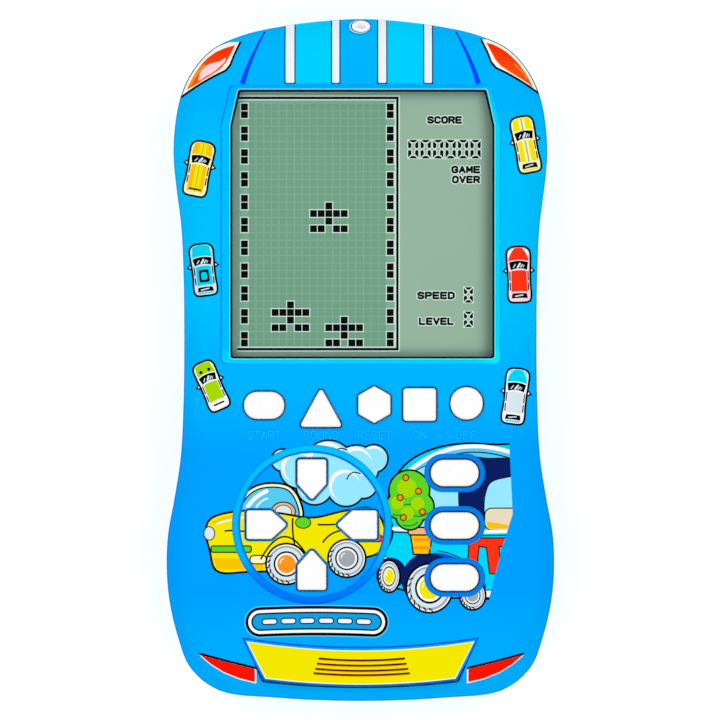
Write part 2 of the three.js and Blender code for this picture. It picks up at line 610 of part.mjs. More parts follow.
piece("battery_wire_red", wire([
  [-31.4, HIGH_CELL - 0.2, 13.1], [-33.6, 32, 12.6], [-34, 20, 9], [-33, 8, 8], [-30, 2, 11],
], -29.5, 0), RED);
piece("battery_wire_black", wire([
  [-31.4, LOW_CELL - 0.2, 13.1], [-32, 16, 13.6], [-30.5, 9, 13], [-28, 7, 12.5], [-20, 4, 12],
], -19, 2), BLACK);
piece("buzzer_wire_red", wire([
  [BUZZER.x, BUZZER.y + 3, BUZZER.seat + 1.5], [-13, -34, 8], [-8, -30, 11],
], -7, -28), RED);
piece("buzzer_wire_black", wire([
  [BUZZER.x - 11.5, BUZZER.y, BUZZER.seat + 1.2], [-27.5, -38, 7.5], [-27, -31, 11],
], -26, -28), BLACK);

CASE_SCREWS.forEach(([x, y], i) => piece(`case_screw_${i + 1}`, screw(x, y, 6, 12.5), STEEL));
BOARD_SCREWS.forEach(([x, y], i) => {
  piece(`board_screw_${i + 1}`, screw(x, y, BOARD_LOW, 5, 1.9, 0.8), STEEL);
});

export default game;
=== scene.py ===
"""The looks of a handheld brick game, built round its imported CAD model.

Lengths in this script are millimetres until a mesh is made; MM turns them into the frame's metres.
+X is the player's right, +Y runs from the keys to the screen, +Z comes out of the screen.
"""

import json
import math

import bmesh
import bpy
import numpy as np
from mathutils import Matrix, Vector
from mathutils.bvhtree import BVHTree
from mathutils.geometry import delaunay_2d_cdt


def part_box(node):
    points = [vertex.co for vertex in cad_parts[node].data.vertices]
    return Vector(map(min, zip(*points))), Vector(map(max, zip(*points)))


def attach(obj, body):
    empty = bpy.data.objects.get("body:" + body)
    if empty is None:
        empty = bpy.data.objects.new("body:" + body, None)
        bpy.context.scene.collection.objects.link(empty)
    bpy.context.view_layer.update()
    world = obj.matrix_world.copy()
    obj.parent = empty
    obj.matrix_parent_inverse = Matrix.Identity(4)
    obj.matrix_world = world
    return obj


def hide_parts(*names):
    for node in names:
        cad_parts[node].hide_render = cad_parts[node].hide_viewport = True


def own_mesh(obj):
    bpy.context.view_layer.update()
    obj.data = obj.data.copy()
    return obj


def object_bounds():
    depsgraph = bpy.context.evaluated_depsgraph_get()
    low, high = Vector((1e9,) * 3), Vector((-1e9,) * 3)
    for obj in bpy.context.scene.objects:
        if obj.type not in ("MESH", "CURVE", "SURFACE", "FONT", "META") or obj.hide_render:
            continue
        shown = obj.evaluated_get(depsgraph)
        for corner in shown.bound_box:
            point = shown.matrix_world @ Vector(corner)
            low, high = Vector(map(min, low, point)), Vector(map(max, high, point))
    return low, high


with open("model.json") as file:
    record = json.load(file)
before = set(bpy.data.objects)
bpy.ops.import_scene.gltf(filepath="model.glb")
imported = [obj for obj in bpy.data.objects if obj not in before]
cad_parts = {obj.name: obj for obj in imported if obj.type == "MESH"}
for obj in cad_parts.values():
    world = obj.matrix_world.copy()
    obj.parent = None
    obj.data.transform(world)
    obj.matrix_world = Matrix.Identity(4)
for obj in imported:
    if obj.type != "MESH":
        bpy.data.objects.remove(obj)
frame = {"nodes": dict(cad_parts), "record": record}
CAD_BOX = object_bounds()
MM = 0.001
TAU = 2 * math.pi

# ---- Driving dimensions -------------------------------------------------------------------------


def node_box(node):
    """The lowest and highest corners of a CAD node, in millimetres."""
    return tuple(np.array(corner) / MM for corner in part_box(node))


# Half outline of the case, from the top middle round the right side to the bottom middle.
HALF_OUTLINE = [
    (0, 86), (10.5, 85.4), (19.6, 84.2), (29.2, 82.1), (37.4, 78.4), (42.6, 72.6), (45.6, 65.8),
    (47, 57.5), (47.2, 51), (46.5, 43.5), (45.3, 34), (44.7, 22), (44.5, 5), (44.7, -11), (45.4, -24.5),
    (47, -35), (48.6, -44), (48.95, -52.5), (48.2, -61), (46.1, -69.9), (43, -77.6), (35.8, -83.3),
    (21, -85.2), (0, -86),
]

RAISED = 0.6  # how far the ring and the collars stand above the face
FACE = node_box("front_shell")[1][2] - RAISED
FRONT_RIM = node_box("front_shell")[0][2]
BACK_RIM = FRONT_RIM - 0.3
WALL = 1.8
INNER_FACE = FACE - WALL
GAP = 0.3  # between a key's flange, or the battery door, and the shell
HOLE, HOLE_LIP = 0.24, 0.1  # round a key at the face, and the rounding of the hole's edge
CAP_INSET = 0.08  # how much smaller a visible key cap is than its CAD solid
# The rounded edges: how far in from the outline and down from the face, and how full the curve is.
FRONT_EDGE = {"inward": 8.5, "down": 7.5, "power": 2.25}
BACK_EDGE = {"inward": 8, "down": 8, "power": 2.1}

WINDOW = {"left": -32.7, "right": 33.7, "bottom": 0.4, "top": 68, "flare": 2, "flare_to": 59}
FRAME_HIGH, FRAME_LIP = 0.4, 0.38  # the raised frame round the window, and the rounding of its edge
PANEL_HIGH, PANEL_LIP = 0.3, 0.28
COLLAR_LIP = 0.55
# The direction keys: their middle, then distances from it to each key's tip, shoulders and outer end.
CROSS = {"x": -12.2, "y": -41.4, "tip": 6.1, "shoulder": 10.2, "outer": 16.5, "half": 3.7}
RING = (18.1, 20)  # inner and outer radius of the bead round the direction keys
ACTION = {"x": 23.7, "ys": (-28.4, -41.6, -54.7), "size": (12.2, 6.8), "collar": (15, 9.4)}
KEY_FLANGE, KEY_LIP = 1, 0.9  # thickness of the flange that holds a key in, and how far out it reaches

CASE_SCREWS = [(-40.3, 58), (40.3, 58), (-39.2, 2), (39.2, 2), (-40, -62), (40, -62)]
# The battery box, its door and the door's two hooks, seen from the front and measured from the back.
BOX = {"half": 29, "low": 13.5, "high": 44.1, "wall": 1.3, "top": 17.7, "ledge": 3.4, "out": 3.5}
DOOR = {"half": 31, "low": 11.5, "high": 46.1, "outer": 0.3, "thick": 1.4, "ear": 5, "screw_y": 8}
HOOKS = {"xs": (-14, 14), "half": 3.5, "root": 2.3, "reach": 3.2, "low": 2.1, "high": 3.1, "swing": 5.3}
BUZZER = (-14, -42)

# ---- Plane geometry -----------------------------------------------------------------------------


def dense(loop, step=0.8):
    """A loop with points no more than step apart."""
    out = []
    for a, b in zip(loop, np.roll(loop, -1, axis=0)):
        count = max(1, math.ceil(np.linalg.norm(b - a) / step))
        out += [a + (b - a) * i / count for i in range(count)]
    return np.array(out)


def polar(radius, angle):
    return radius * math.cos(angle), radius * math.sin(angle)


def rectangle(width, height):
    w, h = width / 2, height / 2
    return [(-w, -h), (w, -h), (w, h), (-w, h)]


def circle(x, y, radius, sides=48, squash=1.0):
    angles = np.arange(sides) * TAU / sides
    return np.column_stack([x + radius * np.cos(angles), y + radius * squash * np.sin(angles)])


def area(loop):
    x, y = np.asarray(loop, float).T
    return 0.5 * float(np.sum(x * np.roll(y, -1) - np.roll(x, -1) * y))


def anticlockwise(loop):
    loop = np.asarray(loop, float)
    return loop if area(loop) > 0 else loop[::-1]


def inside(loop, points):
    """Whether each point is inside a loop."""
    a, b = np.asarray(loop, float), np.roll(loop, -1, axis=0)
    hits = np.zeros(len(points), bool)
    near = np.where(((points >= a.min(axis=0)) & (points <= a.max(axis=0))).all(axis=1))[0]
    x, y = points[near].T
    crosses = (a[:, 1, None] > y) != (b[:, 1, None] > y)
    rise = np.where(b[:, 1] == a[:, 1], 1, b[:, 1] - a[:, 1])[:, None]
    at = a[:, 0, None] + (y - a[:, 1, None]) * (b[:, 0] - a[:, 0])[:, None] / rise
    hits[near] = (crosses & (x < at)).sum(axis=0) % 2 == 1
    return hits


def place(loop, x=0, y=0, turn=0):
    """loop turned by turn degrees about the origin, then moved to x, y."""
    c, s = math.cos(math.radians(turn)), math.sin(math.radians(turn))
    return np.asarray(loop, float) @ np.array([[c, s], [-s, c]]) + (x, y)


def rounded(corners, radius, grow=0, steps=8):
    """A convex outline moved out by grow, with its corners rounded."""
    ring = anticlockwise(corners)
    edges = np.roll(ring, -1, axis=0) - ring
    heading = np.arctan2(edges[:, 1], edges[:, 0]) - math.pi / 2
    out = []
    for i, corner in enumerate(ring):
        before = heading[i - 1]
        sweep = (heading[i] - before) % TAU
        centre = corner - polar(radius / math.cos(sweep / 2), before + sweep / 2)
        out += [centre + polar(radius + grow, before + sweep * s / steps) for s in range(steps + 1)]
    return np.array(out)


def resampled(loop, count):
    """A closed loop's points spread evenly along it, starting at its first point."""
    closed = np.vstack([loop, loop[:1]])
    along = np.concatenate([[0], np.cumsum(np.linalg.norm(np.diff(closed, axis=0), axis=1))])
    at = np.linspace(0, along[-1], count, endpoint=False)
    return np.column_stack([np.interp(at, along, closed[:, k]) for k in range(2)])


def smooth_loop(points, count=96):
    """A centripetal Catmull-Rom curve through points, closed and evenly spread."""
    p = np.asarray(points, float)
    out = []
    for i in range(len(p)):
        p0, p1, p2, p3 = (p[(i + k - 1) % len(p)] for k in range(4))
        d0, d1, d2 = (np.linalg.norm(b - a) ** 0.5 for a, b in ((p0, p1), (p1, p2), (p2, p3)))
        m1 = ((p1 - p0) / d0 - (p2 - p0) / (d0 + d1) + (p2 - p1) / d1) * d1
        m2 = ((p2 - p1) / d1 - (p3 - p1) / (d1 + d2) + (p3 - p2) / d2) * d1
        for t in np.linspace(0, 1, 20, endpoint=False):
            a, b = 2 * t**3 - 3 * t**2, t**3 - 2 * t**2 + t
            out.append((a + 1) * p1 - a * p2 + b * m1 + (t**3 - t**2) * m2)
    return resampled(np.array(out), count)


def outward(loop):
    """Unit normals that point out of an anticlockwise loop."""
    along = np.roll(loop, -1, axis=0) - np.roll(loop, 1, axis=0)
    along /= np.linalg.norm(along, axis=1)[:, None]
    return np.column_stack([along[:, 1], -along[:, 0]])


def case_outline(count=288):
    """The case's outline, anticlockwise, just inside the CAD model's box."""
    clear = 0.01
    right = HALF_OUTLINE[1:-1][::-1]
    loop = smooth_loop([(-x, y) for x, y in HALF_OUTLINE] + right, count)
    half = (np.array(CAD_BOX[1]) - np.array(CAD_BOX[0]))[:2] / MM / 2
    return loop * (half - clear) / np.abs(loop).max(axis=0)


CASE = case_outline()
CASE_OUT = outward(CASE)


def case_inset(inset):
    return CASE - CASE_OUT * inset


def door_outline(grow, steps=16):
    ear = [polar(DOOR["ear"] + grow, math.pi * (1 + i / steps)) for i in range(steps + 1)]
    half, low, high = DOOR["half"] + grow, DOOR["low"] - grow, DOOR["high"] + grow
    neck = DOOR["ear"] + grow
    return np.array(
        [(-half, low), (-neck, low)]
        + [(x, y + DOOR["screw_y"]) for x, y in ear]
        + [(neck, low), (half, low), (half, high), (-half, high)]
    )


def window_outline(grow, radius=1.0):
    """The window's flared outline; its corners are rounded."""
    w = WINDOW
    left, right, flare = w["left"] - grow, w["right"] + grow, w["flare"]
    low, high = w["bottom"] - grow, w["top"] + grow
    corners = [
        (left, low), (right, low), (right, w["flare_to"]), (right - flare, high),
        (left + flare, high), (left, w["flare_to"]),
    ]
    return rounded(corners, radius, 0, 6)


def frame_outline(grow):
    """The outer edge of the raised frame round the window."""
    corners = [(-35.1, -1.0), (35.2, -1.0), (35.2, 59.1), (32.8, 69.1), (-32.8, 69.1), (-35.1, 59.1)]
    return rounded(corners, 1.4, grow, 6)


def panel_outline(grow=0.0):
    """The panel under the keys: curved top and bottom edges between slanted ends."""
    t = np.linspace(-1, 1, 25)
    bottom = np.column_stack([(24 + grow * 0.8) * t, -81.7 - grow + 1.5 * t**2])
    top = np.column_stack([(28.8 + grow * 1.2) * t, -72.9 + grow + 2.3 * t**2])
    return np.vstack([bottom, top[::-1]])


# ---- Keys: the corners of each outline about its place, and its corner radius -------------------

HEXAGON = [polar(4.75, TAU / 12 + i * TAU / 6) for i in range(6)]
ARROW = [
    (0, CROSS["tip"]), (CROSS["half"], CROSS["shoulder"]), (CROSS["half"], CROSS["outer"]),
    (-CROSS["half"], CROSS["outer"]), (-CROSS["half"], CROSS["shoulder"]),
]
KEYS = {
    "key_start_pause": (-24.2, -11.4, rectangle(10.3, 7), 3.4),
    "key_sound": (-9.9, -11.9, [(-5.6, -5), (5.6, -5), (0, 5.2)], 0.7),
    "key_reset": (3.5, -11.2, HEXAGON, 0.6),
    "key_on": (14.9, -11.2, rectangle(8.4, 8.4), 0.9),
    "key_off": (26.7, -10.9, rectangle(8.3, 8.3), 4.05),
}
WAYS = ("up", "left", "down", "right")
SPOTS = ("top", "middle", "bottom")
for quarter, way in enumerate(WAYS):
    KEYS["key_" + way] = (CROSS["x"], CROSS["y"], place(ARROW, turn=90 * quarter), 0.7)
for level, spot in zip(ACTION["ys"], SPOTS):
    KEYS["key_action_" + spot] = (ACTION["x"], level, rectangle(*ACTION["size"]), 3.3)


def key_outline(name, grow=0.0):
    x, y, corners, radius = KEYS[name]
    return rounded(corners, radius, grow) + (x, y)


# ---- Solids -------------------------------------------------------------------------------------


def scene_object(name, data):
    obj = bpy.data.objects.new(name, data)
    bpy.context.scene.collection.objects.link(obj)
    return obj


def mesh_object(name, vertices, faces):
    mesh = bpy.data.meshes.new(name)
    mesh.from_pydata([tuple(v) for v in np.asarray(vertices, float) * MM], [], faces)
    mesh.validate()
    return scene_object(name, mesh)


def loft(name, rings):
    """A solid through rings of equal point counts, each (loop, z), capped at both ends."""
    count = len(rings[0][0])
    vertices = np.vstack([np.column_stack([loop, np.broadcast_to(z, count)]) for loop, z in rings])
    faces = [list(range(count))[::-1], list(range(len(vertices) - count, len(vertices)))]
    for r in range(len(rings) - 1):
        for i in range(count):
            a, b = r * count + i, r * count + (i + 1) % count
            faces.append([a, b, b + count, a + count])
    return mesh_object(name, vertices, faces)


def prism(name, loop, low, high):
    return loft(name, [(loop, low), (loop, high)])


def block(name, x0, x1, y0, y1, z0, z1):
    return prism(name, np.array([(x0, y0), (x1, y0), (x1, y1), (x0, y1)]), z0, z1)


def lathe(name, x, y, profile, sides=48):
    """A solid turned about a vertical axis from (radius, z) pairs that run upwards."""
    return loft(name, [(circle(x, y, max(radius, 0.01), sides), z) for radius, z in profile])


def combine(target, operation, *tools):
    """Joins the tools to target, or cuts them from it, and deletes them."""
    for tool in tools:
        modifier = target.modifiers.new("combine", "BOOLEAN")
        modifier.operation = operation
        modifier.solver = "MANIFOLD"
        modifier.object = tool
        done = bpy.data.meshes.new_from_object(target.evaluated_get(bpy.context.evaluated_depsgraph_get()))
        target.modifiers.clear()
        old, target.data = target.data, done
        bpy.data.meshes.remove(old)
        bpy.data.objects.remove(tool)
    return target


def add(target, *tools):
    return combine(target, "UNION", *tools)


def carve(target, *tools):
    return combine(target, "DIFFERENCE", *tools)


def flared(name, outline, low, high, lip, down=True):
    """A cutter with the walls of outline(0), whose mouth at high, or low, widens in a rounded lip."""
    steps = [lip * (1 - math.cos(s * TAU / 20)) for s in range(6)]
    rises = [lip * math.sin(s * TAU / 20) for s in range(6)]
    if down:
        rings = [(outline(0), low)] + [(outline(g), high - lip + r) for g, r in zip(steps, rises)]
        return loft(name, rings + [(outline(lip), high + 1)])
    rings = [(outline(lip), low - 1)]
    rings += [(outline(g), low + lip - r) for g, r in zip(steps[::-1], rises[::-1])]
    return loft(name, rings + [(outline(0), high)])


def plateau(name, outline, low, high, lip):
    """A raised area inside outline(0), with a rounded top edge."""
    rings = [(outline(0), low)]
    for s in range(6):
        angle = s * TAU / 20
        rings.append((outline(-lip * (1 - math.cos(angle))), high - lip * (1 - math.sin(angle))))
    return loft(name, rings)


def tidy(obj, angle=32):
    """Merges coplanar faces and shades what is rounded as smooth, with the flats staying flat."""
    bm = bmesh.new()
    bm.from_mesh(obj.data)
    bmesh.ops.remove_doubles(bm, verts=bm.verts, dist=0.002 * MM)
    bmesh.ops.dissolve_degenerate(bm, edges=bm.edges, dist=0.002 * MM)
    bmesh.ops.dissolve_limit(bm, angle_limit=math.radians(0.2), verts=bm.verts, edges=bm.edges)
    bmesh.ops.recalc_face_normals(bm, faces=bm.faces)
    bm.to_mesh(obj.data)
    bm.free()
    return shade(obj, angle)


def shade(obj, angle=32):
    obj.data.polygons.foreach_set("use_smooth", [True] * len(obj.data.polygons))
    obj.data.set_sharp_from_angle(angle=math.radians(angle))
    normals = obj.modifiers.new("normals", "WEIGHTED_NORMAL")
    normals.keep_sharp = True
    normals.weight = 100
    return obj


def join(name, objects):
    """One object from several closed solids."""
    bm = bmesh.new()
    for obj in objects:
        bm.from_mesh(obj.data)
    mesh = bpy.data.meshes.new(name)
    bm.to_mesh(mesh)
    bm.free()
    for obj in objects:
        bpy.data.objects.remove(obj)
    return scene_object(name, mesh)


# ---- Materials ----------------------------------------------------------------------------------


def linear(red, green, blue):
    """A linear colour from 0 to 255 display values."""
    values = [v / 255 for v in (red, green, blue)]
    return [v / 12.92 if v <= 0.04045 else ((v + 0.055) / 1.055) ** 2.4 for v in values] + [1.0]


def add_node(tree, kind, inputs=(), operation=None):
    """The outputs of a new shader node. Each of its inputs is a value, or another node's output."""
    made = tree.nodes.new("ShaderNode" + kind)
    if operation:
        made.operation = operation
    feed(tree, made, dict(inputs))
    return made.outputs


def feed(tree, made, inputs):
    """Sets each of a node's inputs to a value, or links another node's output to it."""
    for socket, value in inputs.items():
        if isinstance(value, bpy.types.NodeSocket):
            tree.links.new(value, made.inputs[socket])
        else:
            made.inputs[socket].default_value = value


GLOSS_DRIFT = 0.06


def surface(name, color, roughness, grain=900, bump=0.02, spread=0.06, shade_ramps=(), **inputs):
    """A moulded or printed surface: its colour and gloss drift a little, over a fine relief.
    color is in display values, or a list of (y, color) that it follows up the object. grain is the
    relief's frequency per metre, bump its height in millimetres. Each painted shade ramp is an axis with
    a list of (place, share) that darkens the colour along it."""
    material = bpy.data.materials.new(name)
    material.use_nodes = True
    tree = material.node_tree
    place_in = add_node(tree, "TexCoord")["Object"]

    def noise(scale, detail):
        return add_node(tree, "TexNoise", {"Vector": place_in, "Scale": scale, "Detail": detail})["Fac"]

    def drift(source, low, high):
        return add_node(tree, "MapRange", {"Value": source, "To Min": low, "To Max": high})["Result"]

    if isinstance(color, list):
        base = color_ramp(tree, place_in, "Y", [(y, linear(*rgb)) for y, rgb in color])
    else:
        base = linear(*color)[:3]
    share = drift(noise(38, 3), 1 - spread, 1 + spread)
    shaded_color = add_node(tree, "VectorMath", {0: base, "Scale": share}, "SCALE")["Vector"]
    for axis, stops in shade_ramps:
        deeper = color_ramp(tree, place_in, axis, stops)
        shaded_color = add_node(tree, "VectorMath", {0: shaded_color, 1: deeper}, "MULTIPLY")["Vector"]
    gloss = drift(noise(260, 4), max(roughness - GLOSS_DRIFT, 0.02), roughness + GLOSS_DRIFT)
    relief = add_node(tree, "Bump", {"Strength": 0.5, "Distance": bump * MM, "Height": noise(grain, 2)})
    fixed = {socket.replace("_", " "): value for socket, value in inputs.items()}
    drawn = {"Base Color": shaded_color, "Roughness": gloss, "Normal": relief["Normal"]}
    feed(tree, tree.nodes["Principled BSDF"], fixed | drawn)
    return material


def color_ramp(tree, place_in, axis, stops):
    """A colour that runs smoothly along an axis of the object through (place, colour) stops."""
    low, high = stops[0][0], stops[-1][0]
    along = add_node(tree, "SeparateXYZ", {"Vector": place_in})[axis]
    share = add_node(tree, "MapRange", {"Value": along, "From Min": low * MM, "From Max": high * MM})
    ramp = add_node(tree, "ValToRGB", {"Fac": share["Result"]})["Color"]
    colors = ramp.node.color_ramp
    colors.interpolation = "EASE"
    while len(colors.elements) < len(stops):
        colors.elements.new(0.5)
    for element, (place_along, color) in zip(colors.elements, stops):
        element.position = (place_along - low) / (high - low)
        element.color = color
    return ramp


def clear_sheet(name):
    """Clear polished acrylic: light goes straight through it, with a gloss that grows towards the edge."""
    material = bpy.data.materials.new(name)
    material.use_nodes = True
    tree = material.node_tree
    tree.nodes.remove(tree.nodes["Principled BSDF"])
    through = add_node(tree, "BsdfTransparent", {"Color": (0.985, 0.995, 0.99, 1)})["BSDF"]
    gloss = add_node(tree, "BsdfGlossy", {"Roughness": 0.04})["BSDF"]
    edge = add_node(tree, "Fresnel", {"IOR": 1.26})["Fac"]
    behind = add_node(tree, "NewGeometry")["Backfacing"]
    outside = add_node(tree, "Math", {0: edge, 1: behind}, "SUBTRACT")["Value"]
    outside.node.use_clamp = True
    mixed = add_node(tree, "MixShader", {"Fac": outside, 1: through, 2: gloss})["Shader"]
    feed(tree, tree.nodes["Material Output"], {"Surface": mixed})
    return material


# Painted light and shade in the case's blue: deepest round the keys and lightest beside the window.
CASE_GREENS_PAINTED_SHADE = [
    (-86, 176), (-70, 170), (-55, 160), (-28, 162), (-5, 179), (15, 192), (50, 192), (68, 180), (86, 184),
]
CASE_BLUES_PAINTED_SHADE = [(y, (0, green, 254)) for y, green in CASE_GREENS_PAINTED_SHADE]
# Painted shade: the walls are a little deeper than the faces.
FACE_UNSHADED, WALL_PAINTED_SHADE = (1, 1, 1, 1), (1, 0.44, 0.7, 1)
CASE_WALL_PAINTED_SHADE = [
    ("Z", [(0.5, FACE_UNSHADED), (5, WALL_PAINTED_SHADE), (FACE - 6.4, WALL_PAINTED_SHADE), (FACE - 4.2, FACE_UNSHADED)]),
]
DULL = {"Specular_IOR_Level": 0.0}
BLUE = {"roughness": 0.36, "spread": 0.03, **DULL}


def grey(share):
    return (share, share, share, 1)


# Painted shadow: the display darkens towards the window's edges, which stand over it.
FILM_PAINTED_SHADOW = [
    ("X", [(-32.2, grey(0.84)), (-30.8, grey(1)), (28.6, grey(1)), (33.4, grey(0.62))]),
    ("Y", [(0.9, grey(0.84)), (2.6, grey(1)), (66.4, grey(1)), (68, grey(0.72))]),
]
MATERIALS = {
    # The case's blue carries painted light and shade up the case, and painted shade on its walls.
    "case": surface("blue_plastic", CASE_BLUES_PAINTED_SHADE, shade_ramps=CASE_WALL_PAINTED_SHADE, **BLUE),
    "key": surface("white_plastic", (255, 255, 255), 0.36, spread=0.005),
    "window": clear_sheet("clear_acrylic"),
    "display_glass": surface("display_glass", (196, 210, 200), 0.08, bump=0.002, spread=0.02),
    "display_film": surface(
        "display_film", (152, 182, 159), 0.55, bump=0.004, spread=0.025, shade_ramps=FILM_PAINTED_SHADOW,
    ),
    "tray": surface("tray_plastic", (34, 34, 37), 0.6),
    "strip": surface("conductive_rubber", (48, 48, 52), 0.75),
    "silicone": surface("silicone", (196, 199, 204), 0.62, spread=0.03),
    "board": surface("solder_mask", (38, 104, 58), 0.42, spread=0.12),
    "resin": surface("black_resin", (26, 26, 28), 0.28, bump=0.05),
    "capacitor_sleeve": surface("shrunk_sleeve", (30, 34, 48), 0.4),
    "resistor_body": surface("resistor_paint", (206, 178, 132), 0.45),
    "brass": surface("rolled_brass", (214, 180, 96), 0.3, Metallic=1.0),
    "piezo": surface("silvered_ceramic", (222, 219, 208), 0.5),
    "cell_jacket": surface("cell_jacket", (52, 58, 70), 0.36, Metallic=0.25),
    "contact": surface("nickel_plate", (206, 206, 204), 0.24, Metallic=1.0),
    "wire_red": surface("red_insulation", (196, 32, 26), 0.5),
    "wire_black": surface("black_insulation", (26, 26, 27), 0.5),
    "screw": surface("zinc_plate", (188, 190, 194), 0.32, Metallic=1.0, bump=0.01),
}


def settle(obj, body, slot, *nodes):
    """A piece moves with a body and stands for CAD nodes, if any, which it hides; its slot is not used."""
    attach(obj, body)
    if nodes:
        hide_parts(*nodes)
    return obj


# Painted light and shade on the case's raised and sunk details, as numbered on the front shell: painted shade
# on the ring, the collars, the frame's left side, round the key holes and in the grooves, and painted light
# on the frame and the window's lip.
RING_PAINTED_SHADING = [(-62, (0, 112, 250)), (-56, (0, 128, 251)), (-48, (0, 180, 250)), (-21, (6, 194, 253))]
FRAME_PAINTED_LIGHT = [
    (-1, (0, 236, 253)), (1, (0, 234, 253)), (4, (0, 215, 253)), (58, (0, 215, 253)), (68, (0, 198, 248)),
]
# Painted shade: the frame is a deeper blue except along its right side.
FRAME_PAINTED_SHADE = [("X", [(28, (1, 0.76, 1, 1)), (34, (1, 1, 1, 1))])]
PAINTED_DETAIL_SHADING = {
    "ring": surface("ring_painted_shade", RING_PAINTED_SHADING, **BLUE),
    "edge": surface("edge_painted_shade", (6, 132, 240), **BLUE),
    "groove": surface("groove_painted_shade", (0, 88, 252), **BLUE),
    "hole": surface("hole_rim_painted_shadow", (0, 34, 118), **BLUE),
    "lip": surface("lip_painted_highlight", (110, 240, 255), **(BLUE | {"roughness": 0.3})),
    "frame": surface("frame_painted_light", FRAME_PAINTED_LIGHT, shade_ramps=FRAME_PAINTED_SHADE, **BLUE),
}


def finished(obj, body, slot, *nodes):
    """Gives a piece its slot's material and settles it."""
    obj.data.materials.clear()
    obj.data.materials.append(MATERIALS[slot])
    return settle(obj, body, slot, *nodes)


for row in frame["record"]["subparts"]:
    node_object = frame["nodes"][row["node"]]
    node_object.data.materials.clear()
    node_object.data.materials.append(MATERIALS[row["material_slot"]])

# ---- Case ---------------------------------------------------------------------------------------


def edge_rings(edge, face, side, steps=15):
    """Rings up a rounded case edge to the flat face. side is 1 at the front and -1 at the back."""
    power = edge["power"]
    rings = []
    for s in range(steps + 1):
        t = (1 - math.cos(s / steps * math.pi / 2)) if s < steps else 1.0
        drop = edge["down"] * (1 - (1 - (1 - t) ** power) ** (1 / power))
        rings.append((case_inset(t * edge["inward"]), face - side * drop))
    return rings


def crease(side, height):
    """A V-shaped groove down one side of the bonnet, wider towards the window."""
    across = np.array([-1, 1, 1, 0, -1])
    rings = []
    for t in np.arange(15) / 14:
        x, y = side * (24.1 + 5.6 * t + 1.6 * t * (1 - t)), 82.7 - 13.3 * t
        half, deep = 0.24 + 0.46 * t, 0.35 + 0.25 * t
        level = height(x, y)
        loop = np.column_stack([x + half * across, y + 0.35 * side * half * across])
        rings.append((loop, (FACE + 1, FACE + 1, level + 0.05, level - deep, level + 0.05)))
    groove = loft("groove", rings)
    bm = bmesh.new()
    bm.from_mesh(groove.data)
    bmesh.ops.recalc_face_normals(bm, faces=bm.faces)
    bm.to_mesh(groove.data)
    bm.free()
    return groove


def front_skin():
    return loft("case_front", [(CASE, FRONT_RIM)] + edge_rings(FRONT_EDGE, FACE, 1))


def surface_under(obj):
    """A function that gives the height of a solid's top over x, y."""
    tree = BVHTree.FromPolygons(
        [v.co / MM for v in obj.data.vertices], [list(p.vertices) for p in obj.data.polygons]
    )

    def height(x, y):
        for share in (1, 0.9995):
            hit = tree.ray_cast(Vector((x * share, y * share, 100)), Vector((0, 0, -1)))[0]
            if hit is not None:
                return hit.z
        return FRONT_RIM

    return height


def front_case():
    """The front shell, with its raised details and openings. Returns its plain skin's height over x, y."""
    case = front_skin()
    height = surface_under(case)
    levels = (
        (WALL, FRONT_RIM - 1), (WALL, FRONT_RIM + 4), (2.6, FRONT_RIM + 8), (4.6, INNER_FACE - 1),
        (7, INNER_FACE),
    )
    inner = [(case_inset(inset), level) for inset, level in levels]
    rebate = prism("rebate", case_inset(0.65), FRONT_RIM - 1, FRONT_RIM + 1.4)
    add(case, plateau("frame", frame_outline, INNER_FACE, FACE + FRAME_HIGH, FRAME_LIP))
    add(case, plateau("panel", panel_outline, INNER_FACE, FACE + PANEL_HIGH, PANEL_LIP))
    for y in ACTION["ys"]:
        width, high = ACTION["collar"]

        def collar(grow, middle=y):
            return rounded(rectangle(width, high), high / 2 - 0.1, grow, 14) + (ACTION["x"], middle)

        add(case, plateau("collar", collar, INNER_FACE, FACE + RAISED, COLLAR_LIP))
    add(case, ring_bead())
    carve(case, loft("inside", inner), rebate)
    carve(case, flared(
        "opening", lambda g: window_outline(g, 0.7 + g), INNER_FACE - 2, FACE + FRAME_HIGH, 0.35,
    ))
    for name in KEYS:
        top = FACE + (RAISED if name.startswith("key_action") else 0)

        def hole(grow, key=name):
            return key_outline(key, HOLE + grow)

        carve(case, flared("hole", hole, INNER_FACE - 2, top, HOLE_LIP))
    carve(case, crease(-1, height), crease(1, height))
    bosses = [tube_post(x, y, 2.8, 1.4, FRONT_RIM, INNER_FACE + 0.2) for x, y in CASE_SCREWS]
    finished(tidy(case), "housing", "case", "front_shell")
    paint_detail_shading(case, height)
    finished(tidy(join("front_screw_bosses", bosses)), "housing", "case", "front_shell")
    return height


